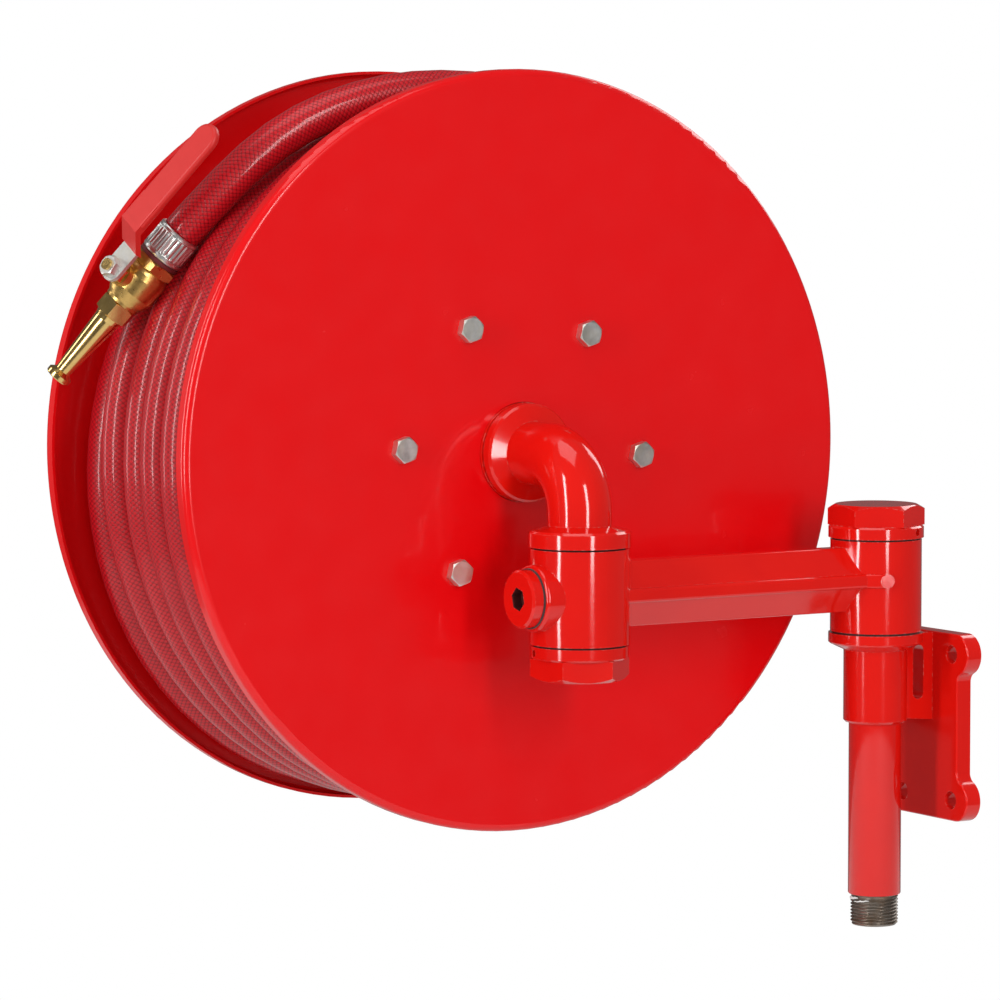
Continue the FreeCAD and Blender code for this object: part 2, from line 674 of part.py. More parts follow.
def make_barrel():
    """Sheet barrel with an inward bolting flange at each end and a notch for the hose."""
    front, rear = sheet, drum_width - sheet
    skin = barrel_radius - barrel_sheet
    barrel = pipe(barrel_radius, skin, on_drum(front, 0, 0), on_drum(rear, 0, 0))
    inner_front = sheet + hub_plate_thickness
    for low, high in ((inner_front, inner_front + barrel_sheet), (rear - barrel_sheet, rear)):
        flange = pipe(skin + 0.5, barrel_flange_inner, on_drum(low, 0, 0), on_drum(high, 0, 0))
        barrel = barrel.fuse(flange)
    barrel = drill(barrel.removeSplitter(), 0.0, drum_width)
    return barrel.cut(hose_notch())


def hose_notch():
    """Sector of the barrel taken out so that the hose can climb from inside to the winding."""
    start = outlet_angle + outlet_lag + slot_start_angle
    sweep = slot_end_angle - slot_start_angle
    reach = barrel_radius + 5.0
    wide = pipe(reach, slot_inner_radius, on_drum(0, 0, 0), on_drum(slot_depth_from_front, 0, 0))
    points = [on_drum(0, 0, 0)]
    for step in range(5):
        points.append(on_drum(0, 2.0 * reach, start + sweep * step / 4.0))
    wedge = Part.Face(Part.makePolygon(points + [points[0]])).extrude(V(-slot_depth_from_front, 0, 0))
    return wide.common(wedge)


def make_hub():
    """Hub casting: plate bolted behind the front disc, ribs, barrel and outlet boss."""
    barrel_end = hub_barrel_length - hub_nose
    hub = cylinder(hub_barrel_radius, on_drum(-hub_nose, 0, 0), on_drum(barrel_end, 0, 0))
    plate_end = sheet + hub_plate_thickness
    hub = hub.fuse(cylinder(hub_plate_radius, on_drum(sheet, 0, 0), on_drum(plate_end, 0, 0)))
    for k in range(hub_rib_count):
        angle = disc_bolt_phase + 360.0 / hub_rib_count * (k + 0.5)
        hub = hub.fuse(hub_rib(angle, plate_end, barrel_end - 6.0))
    port = hub_port_depth - hub_nose
    boss_face = on_drum(port, hub_boss_reach, outlet_angle)
    hub = hub.fuse(cylinder(hub_boss_radius, on_drum(port, 0, 0), boss_face))
    hub = hub.cut(aim(joint_bore(hub_barrel_length, hub_port_depth), hub_mouth, V(-1, 0, 0), Z_AXIS))
    hub = hub.cut(cylinder(outlet_radius, on_drum(port, bush_outer, outlet_angle),
                           on_drum(port, hub_boss_reach + 1.0, outlet_angle)))
    return drill(hub, 0.0, plate_end + 1.0)


def hub_rib(angle, low, high):
    """Triangular rib between hub plate and hub barrel."""
    side = V(1, 0, 0).cross(outward(angle)) * hub_rib_thickness
    half = side * 0.5
    foot = hub_plate_radius - 34.0
    points = [on_drum(low - 1.0, bush_outer + 5.0, angle) - half, on_drum(low - 1.0, foot, angle) - half,
              on_drum(low, foot, angle) - half, on_drum(high, hub_barrel_radius - 1.0, angle) - half,
              on_drum(high, bush_outer + 5.0, angle) - half]
    return Part.Face(Part.makePolygon(points + [points[0]])).extrude(side)


def disc_bolt(angle, head_depth, outside):
    """Hexagon bolt; outside is -1 with its head at the front, 1 at the rear."""
    grip = sheet + hub_plate_thickness + barrel_sheet if outside < 0 else sheet + barrel_sheet
    length = grip + nut_height + bolt_tip
    head = crowned_hexagon(bolt_flats, 0.0, bolt_head_height, 20.0)
    shank = cylinder(bolt_radius, V(0, 0, -length), V(0, 0, 0.01))
    bolt = head.fuse(shank)
    return aim(bolt, on_drum(head_depth, disc_bolt_circle, angle), V(-outside, 0, 0), outward(angle))


def disc_nut(angle, seat_depth, outside):
    """Nut that bears on the barrel's flange inside the drum."""
    nut = crowned_hexagon(bolt_flats, -nut_height, 0.0, 0.0, True, False)
    nut = nut.cut(cylinder(bolt_radius, V(0, 0, -nut_height - 1.0), V(0, 0, 1.0)))
    return aim(nut, on_drum(seat_depth, disc_bolt_circle, angle), V(-outside, 0, 0), outward(angle))


def save_drum():
    front = aim(disc(hub_barrel_radius + fit_gap), drum_centre, V(-1, 0, 0), Z_AXIS)
    rear = aim(disc(rear_opening_radius), V(rear_x, elbow_y, drum_z), X_AXIS, Z_AXIS)
    save("front_disc", drill(front, -1.0, sheet + 1.0))
    save("rear_disc", drill(rear, drum_width - sheet - 1.0, drum_width + 1.0))
    save("drum_barrel", make_barrel())
    save("hub", make_hub())
    save("hub_bushes", *[aim(s, hub_mouth, V(-1, 0, 0), Z_AXIS)
                         for s in joint_bushes(hub_barrel_length, hub_port_depth)])
    front_seat = sheet + hub_plate_thickness + barrel_sheet
    rear_seat = drum_width - sheet - barrel_sheet
    save("front_disc_bolts", *[disc_bolt(a, 0.0, -1) for a in bolt_angles()])
    save("front_disc_nuts", *[disc_nut(a, front_seat, -1) for a in bolt_angles()])
    save("rear_disc_bolts", *[disc_bolt(a, drum_width, 1) for a in bolt_angles()])
    save("rear_disc_nuts", *[disc_nut(a, rear_seat, 1) for a in bolt_angles()])


# ---------------------------------------------------------------- water outlet and hose inside the drum
def lead_in_point(distance):
    """Point on the straight line of the hose inside the drum, from its point nearest the axis."""
    nearest = outlet_angle + outlet_lag
    along = X_AXIS.cross(outward(nearest))
    return on_drum(hub_port_depth - hub_nose, lead_in_distance, nearest) + along * distance


lead_in_corner = -lead_in_distance * math.tan(math.radians(outlet_lag))
outlet_turn = math.radians(90.0 + outlet_lag)
tail_seat = lead_in_corner + outlet_bend_radius * math.tan(outlet_turn / 2.0)


def make_outlet_bend():
    """Bent pipe from the hub's boss to the hose tail, with its water way."""
    port = hub_port_depth - hub_nose
    start = on_drum(port, chamber_radius, outlet_angle)
    corner = lead_in_point(lead_in_corner)
    end = lead_in_point(tail_seat)
    return bent_pipe(start, corner, end, outlet_bend_radius)


def bent_pipe(start, corner, end, bend):
    """Pipe of the outlet's section: straight, one bend at the corner, straight."""
    back, ahead = start.sub(corner).normalize(), end.sub(corner).normalize()
    half = (math.pi - back.getAngle(ahead)) / 2.0
    first = corner + back * (bend * math.tan(half))
    last = corner + ahead * (bend * math.tan(half))
    centre = corner + (back + ahead).normalize() * (bend / math.cos(half))
    ring = Part.Face([Part.Wire(Part.makeCircle(outlet_radius, first, back)),
                      Part.Wire(Part.makeCircle(outlet_bore, first, back))])
    ring.validate()
    hinge = first.sub(centre).cross(last.sub(centre))
    turn = ring.revolve(centre, hinge, math.degrees(2.0 * half))
    bent = pipe(outlet_radius, outlet_bore, start, first).fuse(turn)
    if last.sub(end).Length > 0.01:
        bent = bent.fuse(pipe(outlet_radius, outlet_bore, last, end))
    return bent.removeSplitter()


def make_hose_tail():
    """Barbed tail with a hexagon, drawn about +Z from the bend's end."""
    shank = hose_bore_radius - barb_depth
    points = [V(0, 0, 0), V(outlet_radius, 0, 0), V(outlet_radius, 0, tail_hex_height),
              V(shank, 0, tail_hex_height)]
    pitch = tail_length / barb_count
    for k in range(barb_count):
        base = tail_hex_height + pitch * k
        points += [V(shank, 0, base + pitch * 0.3), V(hose_bore_radius, 0, base + pitch * 0.3),
                   V(shank, 0, base + pitch)]
    points.append(V(0, 0, tail_hex_height + tail_length))
    tail = revolve(points).fuse(crowned_hexagon(tail_hex_flats, 0.0, tail_hex_height, 0.0, True, True))
    return tail.cut(cylinder(barb_bore(), V(0, 0, -1), V(0, 0, tail_hex_height + tail_length + 1)))


def barb_bore():
    """Water way of a hose tail, one third of its shank's wall thinner than the hose bore."""
    return hose_bore_radius - barb_depth - 1.8


def make_hose_clamp():
    """Worm-drive band with its screw housing, drawn about +Z."""
    width = 12.0
    band = pipe(hose_radius + 1.0, hose_radius, V(0, 0, 0), V(0, 0, width))
    housing = block(V(hose_radius - 0.5, -7.0, 1.5), V(hose_radius + 6.0, 7.0, width - 1.5))
    housing = housing.cut(cylinder(hose_radius + 0.5, V(0, 0, 0), V(0, 0, width)))
    screw = cylinder(3.0, V(hose_radius + 3.8, 6.9, width / 2), V(hose_radius + 3.8, 13.0, width / 2))
    return band.fuse(housing).fuse(screw)


def save_outlet():
    along = X_AXIS.cross(outward(outlet_angle + outlet_lag))
    save("outlet_bend", make_outlet_bend())
    seat = lead_in_point(tail_seat)
    save("hose_tail", aim(make_hose_tail(), seat, along, X_AXIS))
    clamp_seat = seat + along * (tail_hex_height + 8.0)
    save("inner_hose_clamp", aim(make_hose_clamp(), clamp_seat, along, V(-1, 0, 0)))
    start = seat + along * tail_hex_height
    reach = math.sqrt(barrel_radius ** 2 - lead_in_distance ** 2) + hose_radius
    lead = pipe(hose_radius, hose_bore_radius, start, lead_in_point(reach))
    lead = lead.common(cylinder(barrel_radius + coil_inner_gap, on_drum(0, 0, 0), on_drum(drum_width, 0, 0)))
    save("hose_lead_in", lead)


# ---------------------------------------------------------------- hose winding and free end
def make_coil():
    """Outer shape of the wound hose: full to the rim at the front, one layer less at the rear."""
    inner = barrel_radius + coil_inner_gap
    front, rear = sheet + coil_side_gap, drum_width - sheet - coil_side_gap
    coil = cylinder(coil_front_radius, on_drum(front, 0, 0), on_drum(coil_step_from_front, 0, 0))
    coil = coil.fuse(cylinder(coil_rear_radius, on_drum(coil_step_from_front, 0, 0), on_drum(rear, 0, 0)))
    return coil.cut(cylinder(inner, on_drum(0, 0, 0), on_drum(drum_width, 0, 0)))


# The free end leaves the top of the winding behind the front disc, rides over it and drifts to
# the rear side. Each entry is depth behind the front face, radius and angle about the drum axis.
front_lane = sheet + hose_radius + 1.5
free_end_route = [(front_lane, 231.0, 50.0), (front_lane + 1.0, 233.0, 68.0), (24.0, 240.0, 83.0), (37.0, 249.5, 97.0),
                  (49.0, 258.5, 110.0), (59.0, 266.0, 124.0)]
ferrule_place = (90.0, 263.0, 147.2)      # the ferrule's middle
mouth_place = (141.0, 286.3, 169.4)       # the middle of the nozzle's mouth
socket_run = 36.0                         # straight hose before the ferrule

ferrule_point = on_drum(*ferrule_place)
nozzle_axis = on_drum(*mouth_place).sub(ferrule_point).normalize()
stem_guess = outward(ferrule_place[2] + stem_turn) + X_AXIS * stem_lean
stem_axis = stem_guess - nozzle_axis * stem_guess.dot(nozzle_axis)
stem_axis.normalize()


def route_points():
    """Corners of the free end's path, finishing inside the ferrule in line with the nozzle."""
    points = [on_drum(*place) for place in free_end_route]
    points.append(ferrule_point - nozzle_axis * (ferrule_half + socket_run))
    points.append(ferrule_point + nozzle_axis * ferrule_half)
    return points


def corner_radii(points, share=0.45):
    """Largest arc at each corner: share of its shorter run over the tangent of half the turn."""
    radii = []
    for before, here, after in zip(points, points[1:], points[2:]):
        first, second = here.sub(before), after.sub(here)
        turn = first.getAngle(second)
        radii.append(share * min(first.Length, second.Length) / math.tan(turn / 2.0))
    return radii


def path_wire(points, radii):
    """Straight runs joined by tangent arcs."""
    edges = []
    start = points[0]
    for i, radius in enumerate(radii):
        here = points[i + 1]
        back = points[i].sub(here).normalize()
        ahead = points[i + 2].sub(here).normalize()
        turn = math.pi - back.getAngle(ahead)
        cut_back = radius * math.tan(turn / 2.0)
        first, last = here + back * cut_back, here + ahead * cut_back
        middle_way = (back + ahead).normalize()
        centre = here + middle_way * (radius / math.cos(turn / 2.0))
        middle = centre - middle_way * radius
        edges.append(Part.LineSegment(start, first).toShape())
        edges.append(Part.Arc(first, middle, last).toShape())
        start = last
    edges.append(Part.LineSegment(start, points[-1]).toShape())
    return Part.Wire(edges)


def swept_bar(points, radius, radii):
    """Round bar along straight runs and tangent arcs."""
    wire = path_wire(points, radii)
    direction = points[1].sub(points[0])
    circle = Part.Wire(Part.makeCircle(radius, points[0], direction))
    return wire.makePipeShell([circle], True, False)


def save_hose():
    save("hose_coil", make_coil())
    points = route_points()
    radii = corner_radii(points)
    print("free end: runs", ["%.0f" % b.sub(a).Length for a, b in zip(points, points[1:])])
    print("free end: arc radii", ["%.0f" % r for r in radii])
    bar = swept_bar(points, hose_radius, radii)
    length = path_wire(points, radii).Length
    print("free end: length %.0f, volume %.0f, section x length %.0f"
          % (length, bar.Volume, math.pi * hose_radius ** 2 * length))
    socket = cylinder(hose_bore_radius, ferrule_point - nozzle_axis * ferrule_half,
                      ferrule_point + nozzle_axis * (ferrule_half + 1.0))
    save("hose_free_end", bar.cut(socket))


# ---------------------------------------------------------------- nozzle
# Drawn about +Z with 0 at the ferrule's middle, the mouth at nozzle_length, and the valve's
# stem along +X.
def make_ferrule():
    """Crimped sleeve over the hose's end, turned in at the valve's side."""
    neck = hose_bore_radius + 0.5
    points = [V(hose_radius, 0, -ferrule_half), V(ferrule_outer - 0.6, 0, -ferrule_half),
              V(ferrule_outer, 0, -ferrule_half + 1.0), V(ferrule_outer, 0, ferrule_half),
              V(ferrule_outer - 1.0, 0, ferrule_half + ferrule_lip), V(neck, 0, ferrule_half + ferrule_lip),
              V(neck, 0, ferrule_half), V(hose_radius, 0, ferrule_half)]
    return revolve(points)


def make_inlet_tail():
    """Barbed tail in the hose with the hexagon that screws into the valve."""
    shank = hose_bore_radius - barb_depth
    low, high = -ferrule_half, ferrule_half + ferrule_lip
    points = [V(0, 0, low), V(shank, 0, low)]
    pitch = 2 * ferrule_half / barb_count
    for k in range(barb_count):
        base = low + pitch * k
        points += [V(shank, 0, base), V(hose_bore_radius, 0, base + pitch * 0.7),
                   V(shank, 0, base + pitch * 0.7)]
    end = valve_centre - ball_cage()
    neck = valve_neck_radius - 2.0
    points += [V(shank, 0, high), V(neck, 0, high), V(neck, 0, end), V(0, 0, end)]
    hexagon_end = inlet_hex_start + inlet_hex_length
    nut = crowned_hexagon(inlet_hex_flats, inlet_hex_start, hexagon_end, 10.0, True, True)
    tail = revolve(points).fuse(nut)
    return tail.cut(cylinder(barb_bore(), V(0, 0, low - 1), V(0, 0, end + 1)))


def make_inlet_washer():
    """Soft washer between the ferrule and the inlet's hexagon."""
    start, end = V(0, 0, inlet_washer_start), V(0, 0, inlet_washer_start + inlet_washer_thickness)
    return pipe(inlet_washer_radius, valve_neck_radius - 2.0 + running_gap, start, end)


def make_valve_body():
    """Brass body: waisted barrel, gland boss, and the hollow for ball and seats."""
    points = [V(0, 0, valve_start), V(valve_neck_radius + 1.5, 0, valve_start),
              V(valve_radius, 0, valve_start + 3.0), V(valve_radius + 1.0, 0, valve_centre - 6.0),
              V(valve_radius + 1.0, 0, valve_centre + 6.0), V(valve_radius - 1.0, 0, valve_end - 5.0),
              V(valve_neck_radius, 0, valve_end - 2.0), V(valve_neck_radius, 0, valve_end),
              V(0, 0, valve_end)]
    body = revolve(points)
    centre = V(0, 0, valve_centre)
    body = body.fuse(cylinder(gland_radius, centre, centre + X_AXIS * gland_height))
    near, far = V(0, 0, valve_centre - ball_cage()), V(0, 0, valve_centre + ball_cage())
    body = body.cut(cylinder(ball_radius + 0.4, near, far))
    body = body.cut(cylinder(valve_neck_radius - 2.0, V(0, 0, valve_start - 1.0), near))
    body = body.cut(cylinder(valve_way_radius, centre, V(0, 0, valve_end + 1.0)))
    tip_thread = cylinder(tip_thread_radius(), V(0, 0, tip_root()), V(0, 0, valve_end + 1.0))
    body = body.cut(tip_thread)
    stem_bore = stem_radius + running_gap
    return body.cut(cylinder(stem_bore, centre, centre + X_AXIS * (gland_height + 1.0)))


def ball_cage():
    """Half length of the hollow that holds the ball between its two seats."""
    way = math.sqrt(ball_radius ** 2 - valve_way_radius ** 2)
    return way + 1.0


def tip_thread_radius():
    return valve_neck_radius - 3.0


def tip_root():
    """Inner end of the tip's thread, against the seat."""
    return valve_centre + ball_cage()


def make_valve_seats():
    """Plastic ring each side of the ball, hollowed to the ball's curve."""
    seats = []
    ball = Part.makeSphere(ball_radius + running_gap, V(0, 0, valve_centre))
    for side in (-1, 1):
        far = V(0, 0, valve_centre + side * ball_cage())
        near = V(0, 0, valve_centre + side * (ball_cage() - seat_length))
        seats.append(pipe(ball_radius + 0.4, valve_way_radius + 0.5, near, far).cut(ball))
    return seats


def make_ball():
    """Drilled ball with the flat slot for the stem's tongue."""
    centre = V(0, 0, valve_centre)
    ball = Part.makeSphere(ball_radius, centre)
    way = Z_AXIS * (ball_radius + 1.0)
    ball = ball.cut(cylinder(valve_way_radius, centre - way, centre + way))
    return ball.cut(stem_tongue(0.0))


def stem_tongue(extra):
    """Flat tongue that turns the ball."""
    low = V(ball_radius - 2.5, -2.0, valve_centre - 3.5)
    high = V(ball_radius + 1.0 + extra, 2.0, valve_centre + 3.5)
    return block(low, high)


def make_stem():
    """Valve stem from the ball's slot to the lever nut."""
    centre = V(0, 0, valve_centre)
    top = lever_height + lever_thickness + stem_nut_height + 1.5
    rod = cylinder(stem_radius, centre + X_AXIS * ball_radius, centre + X_AXIS * top)
    return rod.fuse(stem_tongue(0.0).common(cylinder(stem_radius, centre, centre + X_AXIS * top)))


def make_gland_nut():
    """Nut that presses the stem's packing, round the stem."""
    low = gland_height
    high = gland_height + gland_nut_height
    nut = crowned_hexagon(gland_nut_flats, low, high, 0.0)
    nut = nut.cut(cylinder(stem_radius + running_gap, V(0, 0, low - 1), V(0, 0, high + 1)))
    return aim(nut, V(0, 0, valve_centre), X_AXIS, Z_AXIS)


def lever_profile(thickness, first, last):
    """Side outline of the cranked lever between two distances from the stem, as a face."""
    line = [(-lever_width / 2.0, 0.0), (lever_flat, 0.0), (lever_flat + lever_ramp, lever_rise),
            (lever_reach - lever_end_cover, lever_rise)]
    kept = [p for p in line if first <= p[0] <= last]
    middle = lever_height + lever_thickness / 2.0
    upper = [V(middle + h + thickness / 2.0, 0, valve_centre - d) for d, h in kept]
    lower = [V(middle + h - thickness / 2.0, 0, valve_centre - d) for d, h in reversed(kept)]
    return Part.Face(Part.makePolygon(upper + lower + [upper[0]]))


def make_lever():
    """Pressed steel lever: round eye at the stem, a crank up, and a straight handle."""
    face = lever_profile(lever_thickness, -lever_width, lever_reach)
    half = lever_width / 2.0
    face.translate(V(0, -half, 0))
    bar = face.extrude(V(0, lever_width, 0))
    eye = cylinder(half, V(0, 0, valve_centre), V(lever_height + 2 * lever_rise, 0, valve_centre))
    handle = block(V(0, -half, valve_centre - lever_reach),
                   V(lever_height + 2 * lever_rise, half, valve_centre))
    bar = bar.common(eye.fuse(handle))
    above = V(lever_height + lever_thickness + 1.0, 0, valve_centre)
    return bar.cut(cylinder(stem_radius, V(0, 0, valve_centre), above))


def make_grip():
    """Dipped plastic grip over the lever's handle, rounded at its end."""
    middle = lever_height + lever_thickness / 2.0 + lever_rise
    near, far = valve_centre - lever_reach + grip_length, valve_centre - lever_reach
    half = grip_width / 2.0
    low = V(middle - grip_thickness / 2.0, 0, 0)
    up = V(grip_thickness, 0, 0)
    bar = block(low + V(0, -half, far + half), low + up + V(0, half, near))
    end = V(low.x, 0, far + half)
    bar = bar.fuse(cylinder(half, end, end + up)).removeSplitter()
    rims = [e for e in bar.Edges if e.BoundBox.XLength < 0.01 and e.BoundBox.ZMin < near - 0.5]
    bar = bar.makeFillet(grip_round, rims)
    crank = lever_profile(lever_thickness + 2.0 * grip_skin, lever_flat, lever_reach)
    side = V(0, lever_width / 2.0 + grip_skin, 0)
    crank.translate(-side)
    inside = lever_reach - grip_length + lever_width
    keep = block(V(0, -grip_width, valve_centre - inside), V(grip_width * 3.0, grip_width, valve_centre))
    bar = bar.fuse(crank.extrude(side * 2.0).common(keep))
    return bar.cut(make_lever())


def make_stem_nut():
    low = lever_height + lever_thickness
    nut = crowned_hexagon(stem_nut_flats, low, low + stem_nut_height, 12.0)
    nut = nut.cut(cylinder(stem_radius, V(0, 0, low - 1), V(0, 0, low + stem_nut_height + 1)))
    return aim(nut, V(0, 0, valve_centre), X_AXIS, Z_AXIS)


def make_tip():
    """Tapered jet tip with its hexagon and the bead round the mouth."""
    hex_end = valve_end + tip_hex_length
    bead = nozzle_length - tip_bead_length
    points = [V(0, 0, tip_root()), V(tip_thread_radius(), 0, tip_root()),
              V(tip_thread_radius(), 0, hex_end), V(tip_base_radius + 1.2, 0, hex_end),
              V(tip_base_radius, 0, hex_end + 4.0), V(tip_mouth_radius, 0, bead - 2.0),
              V(tip_bead_radius, 0, bead + 0.8), V(tip_bead_radius, 0, nozzle_length - 0.8),
              V(tip_bead_radius - 0.8, 0, nozzle_length), V(0, 0, nozzle_length)]
    tip = revolve(points).fuse(crowned_hexagon(tip_hex_flats, valve_end, hex_end, 20.0, True, True))
    throat = revolve([V(0, 0, tip_root() - 1.0), V(valve_way_radius, 0, tip_root() - 1.0),
                      V(valve_way_radius, 0, hex_end), V(tip_bore, 0, bead - 8.0),
                      V(tip_bore, 0, bead), V(tip_bore + 1.6, 0, nozzle_length + 1.0),
                      V(0, 0, nozzle_length + 1.0)])
    return tip.cut(throat)


def save_nozzle():
    place = dict(origin=ferrule_point, z_to=nozzle_axis, x_to=stem_axis)
    save("hose_ferrule", aim(make_ferrule(), **place))
    save("inlet_tail", aim(make_inlet_tail(), **place))
    save("inlet_washer", aim(make_inlet_washer(), **place))
    save("valve_body", aim(make_valve_body(), **place))
    save("valve_seats", *[aim(s, **place) for s in make_valve_seats()])
    save("valve_ball", aim(make_ball(), **place))
    save("valve_stem", aim(make_stem(), **place))
    save("gland_nut", aim(make_gland_nut(), **place))
    save("valve_lever_plate", aim(make_lever(), **place))
    save("lever_grip", aim(make_grip(), **place))
    save("stem_nut", aim(make_stem_nut(), **place))
    save("nozzle_tip", aim(make_tip(), **place))
    stem_point = ferrule_point + nozzle_axis * valve_centre
    print("valve stem axis: point", [round(c, 3) for c in stem_point], "direction",
          [round(c, 5) for c in stem_axis])


os.makedirs("parts", exist_ok=True)
save_riser()
save_arm()
save_elbow()
save_drum()
save_outlet()
save_hose()
save_nozzle()
print("riser axis y %.1f, drum swivel y %.1f, drum axis z %.1f" % (riser_y, elbow_y, drum_z))
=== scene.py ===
# %% [markdown]
# # A swinging fire hose reel
# The reel hangs on a wall bracket. Two red steel discs and a barrel make the drum, 30 m of red
# hose is wound on it, and a cast arm with a water-tight swivel at each end carries it. The metal
# shapes come ready made as the frame, so this lesson adds what metal drawings leave out: the
# hose, the threads, the crimped sleeve, the dipped grip, every paint and metal finish, and light.

# %% Load the frame
import math

import bmesh
import bpy
from mathutils import Matrix, Vector


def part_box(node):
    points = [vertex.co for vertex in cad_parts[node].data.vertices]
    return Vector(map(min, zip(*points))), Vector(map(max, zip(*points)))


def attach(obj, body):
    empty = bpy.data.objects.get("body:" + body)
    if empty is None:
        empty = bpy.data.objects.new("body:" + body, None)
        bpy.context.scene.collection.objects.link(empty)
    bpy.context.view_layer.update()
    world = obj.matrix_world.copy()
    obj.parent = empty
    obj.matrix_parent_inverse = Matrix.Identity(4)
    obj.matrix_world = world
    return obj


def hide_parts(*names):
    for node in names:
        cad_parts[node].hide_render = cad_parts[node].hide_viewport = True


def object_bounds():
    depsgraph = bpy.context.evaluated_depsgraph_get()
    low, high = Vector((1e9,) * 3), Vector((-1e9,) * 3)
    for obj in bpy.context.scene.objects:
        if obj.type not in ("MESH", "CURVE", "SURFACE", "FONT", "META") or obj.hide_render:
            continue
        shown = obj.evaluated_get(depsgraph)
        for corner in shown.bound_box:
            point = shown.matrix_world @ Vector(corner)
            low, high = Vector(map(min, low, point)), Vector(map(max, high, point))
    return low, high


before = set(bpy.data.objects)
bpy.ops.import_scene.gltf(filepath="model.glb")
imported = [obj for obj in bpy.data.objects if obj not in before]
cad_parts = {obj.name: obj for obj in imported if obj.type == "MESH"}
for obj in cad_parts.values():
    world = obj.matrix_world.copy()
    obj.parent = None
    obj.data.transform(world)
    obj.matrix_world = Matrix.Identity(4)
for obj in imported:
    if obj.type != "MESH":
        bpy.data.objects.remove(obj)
cad_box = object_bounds()
print("the metal model spans", [round(b - a, 3) for a, b in zip(*cad_box)])

# %% [markdown]
# ## Where things are
# Every place is worked out from the metal pieces themselves. The front disc gives the drum's
# axis and its front face, so a point on the drum is easiest to say as a depth behind that face,
# a radius and an angle. Writing one small function for that keeps the hose's route readable.

# %% Measures taken from the frame
MM = 0.001                     # the frame is in metres, and small sizes are easier in millimetres
UP = Vector((0, 0, 1))

disc_low, disc_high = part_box("front_disc")
front_x = disc_high.x
spin_y = (disc_low.y + disc_high.y) / 2
spin_z = (disc_low.z + disc_high.z) / 2
disc_radius = (disc_high.z - disc_low.z) / 2
drum_width = front_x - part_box("rear_disc")[0].x
drum_centre = Vector((front_x, spin_y, spin_z))


def on_drum(depth, radius, angle):
    """Point in metres from a depth and radius in millimetres and an angle in degrees."""
    turn = math.radians(angle)
    return drum_centre + Vector((-depth, radius * math.cos(turn), radius * math.sin(turn))) * MM


def outward(angle):
    """Unit vector away from the drum's axis."""
    return Vector((0, math.cos(math.radians(angle)), math.sin(math.radians(angle))))


print("drum radius", round(disc_radius, 4), "width", round(drum_width, 4))
print("axis height", round(spin_z, 4))

# %% [markdown]
# ## The camera
# A long lens from over three metres keeps the disc nearly round and the parallel edges nearly
# parallel, as a catalogue picture does. The camera is placed by an angle and a distance from the
# front disc's middle, so it is easy to check and to change.

# %% Camera
view_azimuth, view_elevation, view_distance = 58.0, 4.0, 3.227
focal_length, sensor_width = 170.7, 36.0
sideways_shift, upward_shift = -0.0227, -0.048

azimuth, elevation = math.radians(view_azimuth), math.radians(view_elevation)
towards_camera = Vector((math.sin(azimuth) * math.cos(elevation),
                         -math.cos(azimuth) * math.cos(elevation), math.sin(elevation)))
camera_data = bpy.data.cameras.new("camera")
camera_data.lens = focal_length
camera_data.sensor_width = sensor_width
camera_data.shift_x, camera_data.shift_y = sideways_shift, upward_shift
camera = bpy.data.objects.new("camera", camera_data)
camera.location = drum_centre + towards_camera * view_distance
camera.rotation_euler = towards_camera.to_track_quat("Z", "Y").to_euler()
bpy.context.collection.objects.link(camera)
bpy.context.scene.camera = camera
print("camera at", [round(c, 3) for c in camera.location])

# %% [markdown]
# ## The hose's line
# The hose is one piece, 30 m long: out of the barrel through a notch, four layers of turns side
# by side, and a free end that climbs over the last layer to the nozzle. It could be drawn as
# rings, but rings have no ends and a wrong length. One smooth curve through points on the drum
# has the real length, and a loop works the turns out from the layers' radii. A hose is wound tight
# where it is fed on, near the top, and its own weight lets it hang out a little opposite.

# %% Sizes of the hose and its winding
hose_diameter = 27.0
steps_per_turn = 24
tight_radii = [157.5, 181.5, 206.0, 230.0]   # centreline of each layer where it is pulled tight
layer_slack = [1.0, 4.0, 7.0, 10.0]          # and how much further out it lies opposite
slack_angle = 225.0
front_lane, rear_lane = 17.0, 188.0
lane_pitch = 28.25
top_lanes = 5
turns_per_layer = 5.978
climb_turns = 0.385
top_turns = 5.4
crossover_start = 0.806        # share of a turn, counted back from its end
lead_in_depth = 34.0
lead_in_nearest = 200.0        # angle at which the straight start passes nearest the axis
lead_in_distance = 112.0
lead_in_steps = (-7.7, 12.0, 32.0)   # points along the straight start, from its nearest place
first_bend_radius = 112.0
bend_steps = 4
end_angle = 50.0               # where the last turn leaves the winding, from +Y

# The free end, as depth, radius and angle; the same points that the metal model's tube follows.
free_end_route = [(17.0, 231.0, 50.0), (18.0, 233.0, 68.0), (24.0, 240.0, 83.0),
                  (37.0, 249.5, 97.0), (49.0, 258.5, 110.0), (59.0, 266.0, 124.0)]
ferrule_place = (90.0, 263.0, 147.2)
mouth_place = (141.0, 286.3, 169.4)
ferrule_half = 10.0
socket_run = 36.0              # straight run before the ferrule

ferrule_point = on_drum(*ferrule_place)
nozzle_axis = (on_drum(*mouth_place) - ferrule_point).normalized()
print("inner layers:", len(tight_radii) - 1, "of", turns_per_layer, "turns, and", top_turns, "on top")

# %% [markdown]
# ### Turns that look hand wound
# A machine lays hose in a perfect helix, but a person lays each turn flat against its neighbour
# and crosses over in a short stretch once a turn. A screw modifier would give the helix; working
# out depth and radius from the number of turns gives the crossovers, the climb from layer to layer
# and a small unevenness in the layer that is seen.

# %% Helpers for the winding
def smooth(share):
    """From 0 to 1 with no corner at either end."""
    share = min(max(share, 0.0), 1.0)
    return share * share * (3.0 - 2.0 * share)


